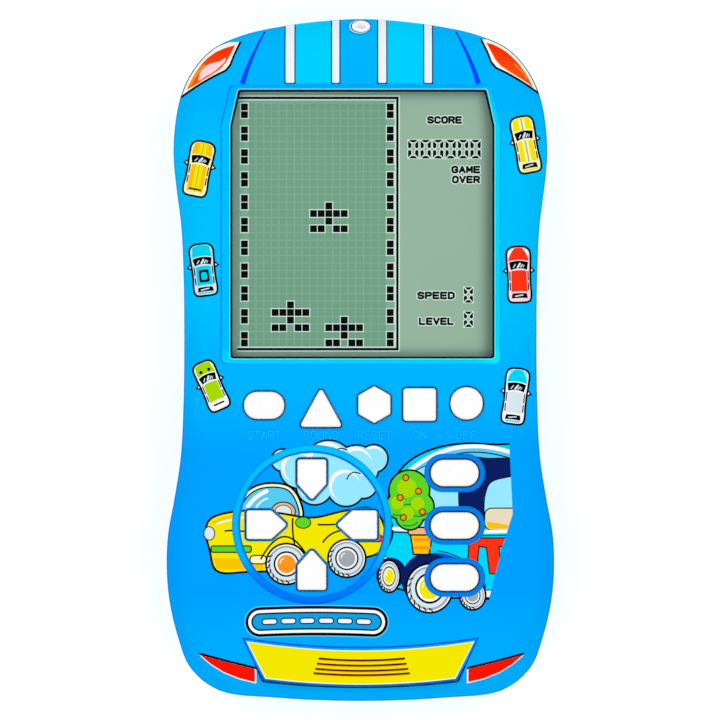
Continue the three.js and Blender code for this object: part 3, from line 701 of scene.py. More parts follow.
def paint_detail_shading(case, height):
    """Paints light and shade onto the case's raised and sunk details, with one painted shading material for
    each.
    """
    for material in PAINTED_DETAIL_SHADING.values():
        case.data.materials.append(material)
    centres = np.array([face.center for face in case.data.polygons]) / MM
    tilted = np.array([face.normal.z for face in case.data.polygons]) < 0.98
    keys_low, keys_high = ACTION["ys"][-1] - 5, ACTION["ys"][0] + 5
    x, y, z = centres.T
    spots = centres[:, :2]
    from_cross = np.hypot(x - CROSS["x"], y - CROSS["y"])
    raised = z > FACE + 0.03
    on_ring = raised & (from_cross > RING[0] - 0.1) & (from_cross < RING[1] + 0.1)
    on_frame = (z > FACE + 0.02) & inside(frame_outline(0), spots)
    beside_key = sum(inside(key_outline(name, HOLE + HOLE_LIP + 0.05), spots) for name in KEYS) > 0
    by_groove = (y > 69.3) & (abs(x) > 23) & (abs(x) < 31) & (z > FACE - FRONT_EDGE["down"])
    top = np.array([height(*spot) if near else 0 for spot, near in zip(spots, by_groove)])
    # Painted shading along the ring; painted shade on its inner side, the collars, the frame's left side, the
    # key holes' rims and the grooves; painted light on the frame and the window's lip.
    parts = [
        ("ring", on_ring),
        ("edge", on_ring & (from_cross < RING[0] + 0.45)),
        ("edge", raised & (abs(x - ACTION["x"]) < 8) & (y < keys_high) & (y > keys_low)),
        ("frame", on_frame),
        ("edge", on_frame & tilted & (x < -32)),
        ("lip", on_frame & tilted & inside(window_outline(0.42), spots)),
        ("hole", beside_key & tilted & (z > FACE - WALL)),
        ("groove", by_groove & (z < top - 0.04)),
    ]
    shades = np.zeros(len(centres), int)
    for name, mask in parts:
        shades[mask] = 1 + list(PAINTED_DETAIL_SHADING).index(name)
    case.data.polygons.foreach_set("material_index", shades.tolist())


def ring_bead():
    """The raised bead round the direction keys, half round in section."""
    inner, outer = RING
    middle, half = (inner + outer) / 2, (outer - inner) / 2
    profile = [(outer, FACE - 1)]
    for a in np.linspace(0, math.pi, 13):
        profile.append((middle + half * math.cos(a), FACE + RAISED * math.sin(a)))
    profile.append((inner, FACE - 1))
    sides, n = 144, len(profile)
    vertices, faces = [], []
    for i in range(sides):
        c, s = math.cos(i * TAU / sides), math.sin(i * TAU / sides)
        vertices += [(CROSS["x"] + r * c, CROSS["y"] + r * s, z) for r, z in profile]
        this, after = i * n, (i + 1) % sides * n
        faces += [[this + k, after + k, after + (k + 1) % n, this + (k + 1) % n] for k in range(n)]
    return mesh_object("bead", vertices, faces)


def tube_post(x, y, outer, bore, low, high):
    """A hollow screw boss, open at its lower end."""
    post = lathe("post", x, y, [(outer, low), (outer, high)], 32)
    return carve(post, lathe("bore", x, y, [(bore, low - 1), (bore, high - 3)], 24))


def back_case():
    """The back shell, with its battery box, screw bosses and sound slots."""
    rings = edge_rings(BACK_EDGE, 0, -1)[::-1]
    case = loft("case_back", rings + [(CASE, BACK_RIM)])
    lip = [(case_inset(0.95), BACK_RIM - 1), (case_inset(0.95), BACK_RIM + 1.4)]
    add(case, loft("lip", lip))
    inner = [(case_inset(7), WALL), (case_inset(4.6), WALL + 1.2), (case_inset(2.6), 5), (case_inset(1.8), 8)]
    carve(case, loft("inside", inner + [(case_inset(1.8), BACK_RIM + 3)]))
    half, low, high, wall = BOX["half"], BOX["low"], BOX["high"], BOX["wall"]
    out = BOX["out"]
    add(
        case,
        block("box", -half - wall, half + wall, low - wall, high + wall, 0.9, BOX["top"]),
        block("ledge", -half - out, half + out, low - out, high + out, 0.95, BOX["ledge"]),
        lathe("door_boss", 0, DOOR["screw_y"], [(4.6, 0.85), (4.6, 9)]),
    )
    add(case, *[lathe("boss", x, y, [(3.4, 5), (3.4, BACK_RIM)]) for x, y in CASE_SCREWS])
    carve(
        case,
        block("cells", -half, half, low, high, -1, BOX["top"] - 1),
        flared("door", lambda g: door_outline(GAP + g), 0, WALL + 0.2, 0.25, down=False),
        lathe("ear", 0, DOOR["screw_y"], [(3.8, -1), (3.8, 3.3)]),
        lathe("hole", 0, DOOR["screw_y"], [(1.6, 0), (1.6, 8.5)]),
    )
    for x in HOOKS["xs"]:
        side = HOOKS["half"] + 1
        room = block("room", x - side, x + side, high - 1, DOOR["high"] + 4, WALL, HOOKS["swing"])
        carve(case, room)
    for x, y in CASE_SCREWS:
        carve(case, lathe("well", x, y, [(2.9, -1), (2.75, 0.6), (2.5, 1.4), (2.5, 6)]))
        carve(case, lathe("shank", x, y, [(1.4, 5), (1.4, BACK_RIM + 1)]))
    longest, shorter, pitch = 17, 2.6, 3.4
    for i in range(-2, 3):
        shape = rectangle(longest - shorter * abs(i), 1.8)
        at = np.array([BUZZER[0], BUZZER[1] + pitch * i])
        slot = flared("slot", lambda g, s=shape, p=at: rounded(s, 0.8, g) + p, 0, WALL + 1, 0.25, down=False)
        carve(case, slot)
    return finished(tidy(case), "housing", "case", "back_shell")


def battery_door():
    """The battery door, with the two hooks that it turns on and an ear for its screw."""
    low, high = DOOR["outer"], DOOR["outer"] + DOOR["thick"]
    lip = 0.25
    angles = np.linspace(0, TAU / 4, 5)
    rings = [(door_outline(-lip * (1 - math.sin(a))), low + lip * (1 - math.cos(a))) for a in angles]
    door = loft("door", rings + [(door_outline(0), high)])
    half, edge = HOOKS["half"], DOOR["high"]
    for x in HOOKS["xs"]:
        root = block("root", x - half, x + half, edge - HOOKS["root"], edge, high - 0.5, HOOKS["high"])
        reach = (edge - 1.15, edge + HOOKS["reach"], HOOKS["low"], HOOKS["high"] - 0.01)
        add(door, root, block("arm", x - half, x + half, *reach))
    at = (0, DOOR["screw_y"])
    add(door, lathe("boss", *at, [(3.4, low + 0.5), (3.4, 3)]))
    carve(door, lathe("well", *at, [(2.6, -1), (2.5, low + 0.2), (2.3, low + 0.4), (2.3, 1.8)]))
    carve(door, lathe("hole", *at, [(1.4, 1), (1.4, 4)]))
    for i in range(5):  # shallow grip grooves near the opening edge
        y = DOOR["low"] + 5 + 1.8 * i
        groove = rounded(rectangle(18 - 1.6 * i, 0.8), 0.35, 0, 4) + (0, y)
        carve(door, prism("grip", groove, -1, low + 0.3))
    return finished(tidy(door), "battery_door", "case", "battery_door")


# ---- Keys and what is under them ----------------------------------------------------------------


def key_cap(name):
    """A key with a flange that holds it in, a rounded top edge and a slightly crowned face."""
    top = node_box(name)[1][2]
    flange = INNER_FACE - GAP
    edge = min(0.6, KEYS[name][3] - CAP_INSET - 0.05)
    crown = 0.12
    wide, body = key_outline(name, KEY_LIP), key_outline(name, -CAP_INSET)
    rings = [(wide, flange - KEY_FLANGE), (wide, flange), (body, flange)]
    for s in range(7):
        inward, down = 1 - math.cos(s * TAU / 24), 1 - math.sin(s * TAU / 24)
        rings.append((key_outline(name, -CAP_INSET - edge * inward), top - crown - edge * down))
    rim = rings[-1][0]
    middle = rim.mean(axis=0)
    for share in (0.85, 0.65, 0.4, 0.15):
        rings.append((middle + (rim - middle) * share, top - crown * share**2))
    return finished(shade(loft(name + "_cap", rings), 40), name, "key", name)


for key in KEYS:
    key_cap(key)

height_at = front_case()
back_case()
battery_door()


def window_sheet():
    """The clear sheet behind the window's opening, with a chamfer round its front."""
    low, high = (corner[2] for corner in node_box("screen_window"))
    outer, chamfered = window_outline(1.3, 1.2), window_outline(1.3 - 0.2, 1.2)
    sheet = loft("window_sheet", [(outer, low), (outer, high - 0.2), (chamfered, high)])
    return finished(shade(sheet), "housing", "window", "screen_window")


window_sheet()

# ---- Printing -----------------------------------------------------------------------------------

INKS = {
    "white": (250, 251, 252), "pale": (216, 232, 240), "grey": (160, 170, 176), "black": (4, 5, 10),
    "navy": (12, 30, 96), "deep_blue": (0, 84, 214), "sky": (84, 204, 244), "pale_sky": (152, 232, 254),
    "bonnet": (0, 208, 255), "aqua": (0, 214, 246), "mid_blue": (16, 160, 228), "cream": (252, 247, 200),
    "yellow": (244, 232, 0), "amber": (250, 196, 0), "orange": (255, 150, 24), "pink": (255, 216, 222),
    "red": (255, 52, 22), "dark_red": (96, 12, 8), "beige": (233, 220, 190), "peach": (250, 178, 130),
    "lime": (168, 218, 0), "green": (96, 212, 36),
    "dark_green": (40, 138, 44), "ghost": (118, 163, 137), "field": (130, 174, 149), "segment": (2, 3, 3),
    "halo": (220, 238, 228), "trace": (58, 132, 74), "stripe": (234, 246, 252), "olive": (178, 188, 96),
}
inks = {
    name: surface("ink_" + name, rgb, 0.42, grain=2600, bump=0.004, spread=0.025, **DULL)
    for name, rgb in INKS.items()
}
# The letters are moulded in the case's plastic; their paler blue is a painted highlight on the raised
# letters.
inks["moulded"] = surface("moulded_letters_painted_highlight", (12, 190, 255), **BLUE)
EDGE_LOOPS = [loop for loop, level in edge_rings(FRONT_EDGE, FACE, 1)]
INK_HIGH = 0.05


def printed(name, shapes, height, slot="case", cuts=(), clip=None, high=INK_HIGH):
    """A thin skin of ink at a height, which is a level or a function of x, y. A shape is (ink, loop), and
    covers the shapes before it. Nothing is printed where an odd number of the cuts overlap, or outside
    clip. On the case's rounded edge the skin bends along the same rings as the case does."""
    loops = [loop for ink, loop in shapes] + list(cuts) + ([] if clip is None else [clip])
    drawn = np.vstack([loop for ink, loop in shapes])
    low_corner, high_corner = drawn.min(axis=0) - 2.5, drawn.max(axis=0) + 2.5
    near = [((ring > low_corner) & (ring < high_corner)).all(axis=1) for ring in EDGE_LOOPS]
    if any(mask.any() for mask in near):
        loops = [dense(loop) for loop in loops]
    edges, start = [], 0
    for loop in loops:
        edges += [(start + i, start + (i + 1) % len(loop)) for i in range(len(loop))]
        start += len(loop)
    for ring, mask in zip(EDGE_LOOPS, near):
        for i in np.where(mask & np.roll(mask, -1))[0]:
            loops.append(ring[[i, (i + 1) % len(ring)]])
            edges.append((start, start + 1))
            start += 2
    points = np.vstack(loops)
    flat, _, triangles = delaunay_2d_cdt([Vector(p) for p in points], edges, [], 0, 1e-4, False)[:3]
    flat, triangles = np.array([tuple(v) for v in flat]), np.array(triangles)
    centres = flat[triangles].mean(axis=1)
    top_shape = np.full(len(triangles), -1)
    for i, (ink, loop) in enumerate(shapes):
        top_shape[inside(loop, centres)] = i
    if cuts:
        top_shape[sum(inside(cut, centres).astype(int) for cut in cuts) % 2 == 1] = -1
    if clip is not None:
        top_shape[~inside(clip, centres)] = -1
    return skin(name, flat, triangles, top_shape, shapes, height, slot, high)


def skin(name, flat, triangles, top_shape, shapes, height, slot, high):
    """A closed sheet over the triangles that have a shape, one material for each ink."""
    kept = triangles[top_shape >= 0]
    names = [shapes[i][0] for i in top_shape[top_shape >= 0]]
    used = sorted(set(names))
    rows = np.unique(kept)
    renumber = {row: i for i, row in enumerate(rows)}
    levels = np.array([height(*flat[row]) if callable(height) else height for row in rows])
    vertices = np.vstack([
        np.column_stack([flat[rows], levels + high]), np.column_stack([flat[rows], levels - INK_HIGH]),
    ])
    count = len(rows)
    top = [[renumber[v] for v in triangle] for triangle in kept]
    sides = {(a, b) for t in top for a, b in zip(t, t[1:] + t[:1])}
    walls = [[a, a + count, b + count, b] for a, b in sides if (b, a) not in sides]
    bottom = [[v + count for v in t[::-1]] for t in top]
    obj = mesh_object(name, vertices, top + bottom + sorted(walls))
    for ink in used:
        obj.data.materials.append(inks[ink])
    indices = [used.index(ink) for ink in names]
    obj.data.polygons.foreach_set("material_index", indices + indices + [0] * len(walls))
    return settle(shade(obj, 40), "housing", slot)


def grown(loop, by):
    """A loop moved outwards, with its sharp corners kept short."""
    ring = anticlockwise(loop)
    sides = [ring - np.roll(ring, 1, axis=0), np.roll(ring, -1, axis=0) - ring]
    mean = sum(np.column_stack([e[:, 1], -e[:, 0]]) / np.linalg.norm(e, axis=1)[:, None] for e in sides)
    return ring + mean * (2 / np.maximum((mean**2).sum(axis=1), 0.8))[:, None] * by


def inked(ink, loop, line=0.52):
    """A filled shape with a black line round it."""
    return [("black", grown(loop, line)), (ink, loop)]


def bow(start, end, bulge, steps=12):
    """Points along a shallow curve that stands off the straight line, to its left, by bulge."""
    a, b = np.array(start, float), np.array(end, float)
    t = np.linspace(0, 1, steps + 1)[:, None]
    along = (b - a) / np.linalg.norm(b - a)
    return a + (b - a) * t + np.array([-along[1], along[0]]) * bulge * 4 * t * (1 - t)


def curve(ink, start, end, bulge, width, steps=12):
    """A shape: a shallow curve drawn with a width."""
    return ink, stroke(bow(start, end, bulge, steps), width)


def stroke(points, width):
    """The outline of a line drawn through points, with round ends."""
    p = np.asarray(points, float)
    along = np.gradient(p, axis=0)
    along /= np.linalg.norm(along, axis=1)[:, None]
    left = np.column_stack([-along[:, 1], along[:, 0]])
    half = width / 2

    def cap(i, turn):
        angles = turn + np.linspace(-math.pi / 2, math.pi / 2, 7 + 2 * int(width))[1:-1]
        return [p[i] + half * (math.cos(a) * along[i] + math.sin(a) * left[i]) for a in angles]

    return np.vstack([p - left * half, cap(-1, 0), (p + left * half)[::-1], cap(0, math.pi)])


def box_loop(x0, x1, y0, y1, radius=0.0):
    corners = np.array([(x0, y0), (x1, y0), (x1, y1), (x0, y1)], float)
    return rounded(corners, radius, 0, 5) if radius else corners


def wheel(x, y, radius, hub, squash=1.0):
    """A toy car's wheel, seen from the side: tyre with its tread marks, white rim and hub."""

    def oval(share):
        return circle(0, 0, radius * share, 40) * (squash, 1) + (x, y)

    def arc(ink, width, *spots):
        points = [np.array(polar(radius * share, a)) * (squash, 1) + (x, y) for share, a in spots]
        return ink, stroke(points, width)

    rings = (("white", 1), ("grey", 0.94), ("pale", 0.84))
    shapes = [("black", grown(oval(1), 0.5))] + [(ink, oval(share)) for ink, share in rings]
    shapes += [arc("black", 0.34, (0.86, a), (0.97, a + 0.14)) for a in np.arange(2.6, 5.0, 0.3)]
    shapes += [(ink, oval(share)) for ink, share in (("black", 0.66), ("white", 0.57), (hub, 0.47))]
    return shapes + [arc("cream", 0.3, (0.32, 2.0), (0.34, 2.5), (0.32, 3.0))]


# ---- Prints on the bonnet, the panel and the sides -----------------------------------------------


def bonnet_print():
    """Four white stripes that run over the top edge, with paler blue between the outer pairs."""
    low, high = 69.7, 87
    shapes = [("bonnet", box_loop(-16.4, -7.3, low, high)), ("bonnet", box_loop(6.7, 15.9, low, high))]
    for left, right in ((-19.0, -16.4), (-7.3, -5.1), (4.3, 6.7), (15.9, 18.2)):
        shapes.append(("navy", box_loop(left - 0.1, right + 0.1, low - 0.25, high)))
        stripe = rounded(rectangle(right - left - 0.4, 30), 0.3, 0, 3)
        shapes.append(("stripe", stripe + ((left + right) / 2, low + 15)))
    return printed("bonnet_stripes", shapes, height_at, clip=case_inset(0.14))


def panel_print():
    """The yellow panel, with a dark line round it on the case and four dark red louvre lines."""
    line = [("navy", box_loop(-34, 34, -85, -76.5)), ("deep_blue", box_loop(-34, 34, -76.5, -68))]
    printed("panel_line", line, FACE, cuts=[panel_outline(0.42)], clip=panel_outline(0.82))
    shapes = [("white", panel_outline(-0.1)), ("yellow", panel_outline(-0.32))]
    for i, y in enumerate((-75.3, -76.6, -77.9, -79.0)):
        left, right = -10.3 - 0.42 * i, 11.0 + 0.42 * i
        for ink, level in (("amber", y - 0.05), ("dark_red", y + 0.25)):
            shapes.append(curve(ink, (left, level), (right, level), -0.5, 0.5))
    return printed("panel_ink", shapes, FACE + PANEL_HIGH)


# On a small car's windscreen, each glint's start and end across, its height and its width.
GLINTS = ((-0.5, -0.3, 0.38, 0.24), (-0.1, 0.12, 0.4, 0.5), (0.16, 0.36, 0.36, 0.3), (0.4, 0.5, 0.34, 0.2))
LAMP_CORNERS = ((0.36, 0.98), (0.82, 0.9), (0.92, 0.6), (0.68, 0.8))


def small_car(
    number, x, y, width, length, lean, hood, roof, rim, tail=-0.64, bands=(), lamps=None, boot=None,
    sunroof=False, dots=False,
):
    """A car seen from above, pointing up the case and leaning lean degrees to the right. Places on it
    are shares of its half width and half length: tail is where the roof ends, and bands are (place,
    half width, ink) of stripes that run along it."""
    line = 0.5
    w, h = width / 2 - line, length / 2 - line
    half = [(0.72, 0.96), (0.97, 0.84), (1, 0.46), (0.95, 0.05), (0.95, -0.4), (1, -0.78), (0.86, -0.96)]
    whole = [(0, 1)] + half + [(0, -1)] + [(-a, b) for a, b in half[::-1]]
    shell = smooth_loop([(a * w, b * h) for a, b in whole], 72)

    def band(low, high, low_half, high_half, arch=0.0, middle=0.0):
        """Part of the car's length, between two ends that arch forwards."""
        back = bow((w * (middle - low_half), h * low), (w * (middle + low_half), h * low), arch, 8)
        front = bow((w * (middle + high_half), h * high), (w * (middle - high_half), h * high), -arch, 8)
        return np.vstack([back, front])

    shapes = []

    def draw(ink, loop):
        shapes.append((ink, loop))

    for side in (-1, 1):
        ear = np.array([(side * w * 0.9, h * 0.32), (side * w * 1.32, h * 0.14), (side * w * 0.9, h * 0.04)])
        draw("black", grown(ear, 0.36))
        draw(rim, ear)
    draw("black", grown(shell, line))
    draw(rim, shell)
    draw(hood, band(0.49, 0.93, 0.93, 0.8, 0.4))
    draw(roof, band(tail, 0.13, 0.74, 0.7, 0.2))
    for middle, half_width, ink in bands:
        draw(ink, band(0.51, 0.95, half_width, half_width, 0, middle))
        draw(ink, band(tail, 0.15, half_width, half_width, 0, middle))
    draw("black", band(0.17, 0.45, 0.74, 0.88, 0.4))
    for a, b, high, thick in GLINTS:
        draw("pale", stroke([(w * a, h * 0.27), (w * b, h * high)], thick))
    if boot:
        draw(boot, band(-0.96, -0.9, 0.6, 0.8))
        draw("black", band(-0.88, -0.7, 0.74, 0.66, 0.1))
        draw("pale", stroke([(-w * 0.4, h * -0.8), (w * 0.3, h * -0.76)], 0.3))
    else:
        draw("black", stroke([(-w * 0.5, h * -0.78), (w * 0.5, h * -0.78)], 0.42))
    if sunroof:
        draw("black", rounded(band(-0.5, 0, 0.46, 0.46)[[0, 8, 9, 17]], 0.4, 0, 5))
        draw("aqua", rounded(band(-0.4, -0.1, 0.26, 0.26)[[0, 8, 9, 17]], 0.3, 0, 5))
    for side in (-1, 1):
        near, far = sorted((side * w * 0.78, side * w * 0.89))
        for low, high in ((-0.58, -0.3), (-0.22, 0.12)):
            draw("black", box_loop(near, far, h * low, h * high))
        if lamps:
            draw(lamps, np.array([(side * a * w, b * h) for a, b in LAMP_CORNERS]))
        if dots:
            draw("black", circle(side * w * 0.42, h * 0.66, 0.42, 16))
    placed = [(ink, place(loop, x, y, -lean)) for ink, loop in shapes]
    return printed(f"small_car_{number}", placed, height_at, clip=case_inset(0.12))


def domed(name, loop, rise, height, material, slot):
    """A low dome on the case over a loop that is star-shaped about its middle."""
    root, foot, steps = -0.3, 0.12, 17
    middle = loop.mean(axis=0)
    rings = [(loop, root)]
    for i in range(steps):
        share = math.cos(i / steps * math.pi / 2)
        rings.append((middle + (loop - middle) * share, foot + rise * math.sqrt(1 - share**4)))
    rings = [(ring, np.array([height(*p) for p in ring]) + lift) for ring, lift in rings]
    obj = loft(name, rings)
    obj.data.materials.append(material)
    return settle(shade(obj, 50), "housing", slot)


def lamp_plastic():
    """Glossy lamp plastic, red at the tail and the headlights' tips and orange at their lower ends."""
    reds = [
        (-86, (250, 20, 4)), (-60, (250, 20, 4)), (62, (255, 96, 30)), (70, (255, 84, 20)),
        (81, (250, 36, 6)),
    ]
    return surface("lamp_red", reds, 0.2, bump=0.05, grain=500, spread=0.1, **DULL)


def over_ink(x, y):
    """The height of the case where ink lies on other ink."""
    return height_at(x, y) + INK_HIGH / 2


def headlight(side):
    """A lens in a white rim that reaches the case's edge, with a black line along its inner side."""
    name = "headlight_" + ("right" if side > 0 else "left")

    shift = (0.25, 0.8) if side > 0 else (0.05, 0.1)
    edge = dense(case_inset(1), 0.1)

    def loop(outer, inner):
        return anticlockwise((resampled(np.array(outer + inner), 96) + shift) * (side, 1))

    rim = loop(
        [(30.4, 80), (32.8, 80), (35.4, 79.1), (38.4, 77.3), (40.5, 75.6), (42.3, 73.5), (43.8, 71.2),
         (44.8, 68.9), (45.3, 66.3)],
        [(40.8, 69.3), (36.9, 71.5), (34, 72.9), (32.9, 74.2), (31.9, 76.8)],
    )
    lens = loop(
        [(31.5, 79.1), (33.8, 78.5), (36.4, 77.4), (38.9, 75.6), (40.9, 73.5), (42.4, 71.2), (43.9, 67.9)],
        [(41.6, 69.1), (36.9, 72), (35.1, 73.2), (33.8, 74.7), (33, 76.2)],
    )
    nearest = edge[np.linalg.norm(lens[:, None] - edge, axis=2).argmin(axis=1)]
    lens = resampled(np.where(inside(edge, lens)[:, None], lens, nearest), 96)
    dark = [("black", grown(rim, 0.26) + (-side * 0.16, -0.22)), ("black", grown(rim, 0.1))]
    printed(name + "_line", dark, height_at, clip=case_inset(0.05))
    printed(name + "_rim", [("white", rim), ("cream", grown(lens, 0.3))], over_ink, clip=case_inset(0.3))
    dome = domed(name, lens, 0.35, height_at, lamp_material, "case")
    # The left lens's pink sheen and the orange streaks along both lenses are painted highlights.
    sheen = smooth_loop([
        (-40.6, 71), (-40.2, 72.2), (-38.5, 73.9), (-36.8, 74.5), (-35.3, 74.9), (-33.9, 75.7), (-34, 74.9),
        (-35.2, 73.6), (-36.9, 72.2), (-39.1, 70.9), (-40.7, 70),
    ], 60) + (0, 0.3)
    if side < 0:
        glow = [("orange", stroke([(-42.9, 69.2), (-41.3, 71.8), (-39.4, 74.1)], 0.6)), ("pink", sheen)]
    else:
        glow = [("orange", stroke([(41.9, 70.9), (40.6, 72.7), (38.8, 74.5)], 0.35))]
    return printed(name + "_sheen", glow, surface_under(dome))


def tail_lamp(side):
    """A low lens beside the panel, in a white rim with a black line over it."""
    name = "tail_lamp_" + ("right" if side > 0 else "left")
    corners = [
        (40.5, -73.9), (33, -75.9), (26.4, -77.5), (26.4, -80.9), (30.4, -79.9), (34.4, -78.3), (37.6, -76.3),
    ]
    shift = (0.6 if side > 0 else 0, -0.2)
    loop = anticlockwise(resampled(np.array(corners), 72) * (side, 1) + shift)
    shapes = [("black", grown(loop, 0.22) + (0, 0.3)), ("white", grown(loop, 0.12) - (side * 0.1, 0.16))]
    printed(name + "_rim", shapes, height_at, clip=case_inset(0.3))
    middle = loop.mean(axis=0)
    return domed(name, middle + (loop - middle) * 0.975, 0.25, height_at, lamp_material, "case")


def badge():
    """A plain oval metal stud at the middle of the top edge, in a thin ring."""
    x, y = 0, 84

    def oval(radius, squash, right=0.0, up=0.0):
        return circle(x + right, y + up, radius, 48, squash)

    shapes = [("deep_blue", oval(2.95, 0.68, -0.2, -0.1)), ("pale_sky", oval(2.75, 0.66, -0.2, -0.1))]
    printed("badge_ring", shapes + [("navy", oval(2.45, 0.66))], height_at, clip=case_inset(0.25))
    domed("badge_rim", oval(2.3, 0.64, 0.1), 0.3, height_at, MATERIALS["key"], "key")
    metal = surface("brushed_badge", (232, 236, 244), 0.34, grain=240, bump=0.06, spread=0.2, Metallic=0.35)
    return domed("badge_stud", oval(1.35, 0.64, 0.2), 0.5, height_at, metal, "key")


# ---- Artwork round the keys: a toy car, a van, a cloud and a bush --------------------------------


def toy_car():
    """An open toy car seen from its left side, with a windscreen arch and two wheels."""
    body = smooth_loop([
        (-38.6, -43), (-37.6, -40.2), (-30, -38.2), (-21, -38.7), (-12, -39.9), (-4, -38.2), (2.8, -37.6),
        (5.6, -41.5), (5.2, -47.6), (-3, -50.2), (-16, -52.4), (-28, -53), (-36, -52.8), (-37.6, -48),
    ])
    screen = smooth_loop([
        (-31, -38.9), (-29.4, -34.4), (-26.4, -32), (-22.4, -31.2), (-18, -32), (-15.6, -35), (-15, -40),
    ], 60)
    skirt = np.array([(-37, -49.8), (-28, -50), (-24.5, -50.5), (-24.5, -52.7), (-36.2, -52.5)])
    folds = (
        ((-17, -39.9), (-16.6, -46.2), -0.2), ((-34, -43), (-28, -43.4), 0.3),
        ((-9.4, -45.8), (-3.2, -42.9), 1.0), ((-25, -50), (-13, -50), 5.6),
        ((-10.6, -41.4), (2.2, -39.6), -0.6), ((-12.4, -51.6), (-8.4, -51), 0.1),
    )
    return [
        *inked("cream", screen),
        *inked("sky", grown(screen, -0.95), 0.36),
        curve("white", (-28.4, -37), (-23.6, -33), 0.5, 1.0),
        curve("white", (-26.4, -37.4), (-23.4, -34.8), 0.4, 0.4),
        *inked("peach", circle(-19.4, -38.2, 2.9, 32, 0.8), 0.3),
        *inked("pale", circle(-19.4, -38.2, 2.0, 32, 0.8), 0.2),
        *inked("yellow", body),
        curve("white", (-36.2, -41.2), (-24.4, -39.2), 0.5, 0.4),
        ("amber", skirt),
        curve("amber", (-37, -40.9), (-31, -39.3), 0.3, 0.7),
        *inked("green", box_loop(-37.4, -27.6, -48.2, -46.9, 0.4), 0.32),
        *inked("pale", circle(-38, -43.6, 1.25, 24, 1.25), 0.25),
        *inked("cream", box_loop(-27.6, -23.8, -51.1, -49.3, 0.8), 0.3),
        *inked("green", circle(-14.4, -40.9, 1.8, 28, 0.72), 0.25),
        *(curve("black", start, end, bulge, 0.42) for start, end, bulge in folds),
        *inked("red", box_loop(-1.2, 5.4, -45.6, -44.1, 0.6), 0.25),
        *wheel(-18.6, -51.3, 4.9, "orange"),
        *wheel(-3.4, -49.9, 4.5, "grey"),
    ]


def cloud():
    """A cloud of puffs, each with a pale edge."""
    lobes = [
        (-19.6, -25.2, 2.6), (-15.4, -27.4, 4.7), (3.4, -24.8, 3.3), (-1, -27, 5.4), (-8, -26.6, 6.2),
        (-11.5, -31.8, 4.4), (0.8, -31.4, 3.2), (-3.6, -32, 4.6),
    ]
    shapes = [("black", circle(x, y, r + 0.46)) for x, y, r in lobes]
    for x, y, r in lobes:
        shine = circle(x - 0.1 * r, y + 0.12 * r, r * 0.84)
        shapes += [("pale_sky", circle(x, y, r)), ("white", shine), ("pale_sky", circle(x, y, r * 0.78))]
    for a, b in (((-14, -30.4), (-10.6, -28.4)), ((-3.4, -30), (0, -28.6)), ((-7, -24), (-3.4, -22.6))):
        shapes.append(curve("black", a, b, 1.0, 0.3))
    return shapes


def bush():
    """A round bush with berries, in a banded pot."""
    lobes = [(12.3, -32.8, 4.9), (9.9, -36.6, 3.2), (15, -36.8, 3.3), (12.4, -39.2, 3.3)]
    pot = np.array([(12.7, -43.4), (13.5, -48.7), (17.1, -48.7), (18, -43.4)])
    shapes = inked("amber", pot, 0.4)
    shapes += [("orange", box_loop(13.4, 17.6, y - 0.4, y + 0.4)) for y in (-45.2, -47.2)]
    shapes += inked("peach", box_loop(12.2, 18.5, -43.8, -42.3, 0.4), 0.4)
    shapes += [("black", circle(x, y, r + 0.46, 48)) for x, y, r in lobes]
    shapes += [("green", circle(x, y, r, 48)) for x, y, r in lobes]
    for x, y, r in lobes:
        shapes.append(("lime", circle(x - 0.6, y + 0.7, r * 0.5, 40)))
        shapes.append(curve("dark_green", (x - r * 0.5, y - r * 0.7), (x + r * 0.6, y - r * 0.5), -0.5, 0.34))
    for x, y in ((10, -34.6), (14.6, -33), (11.4, -29.6), (15.6, -38.2), (10.8, -39.6)):
        shapes += inked("orange", circle(x, y, 0.62, 20), 0.26)
    return shapes


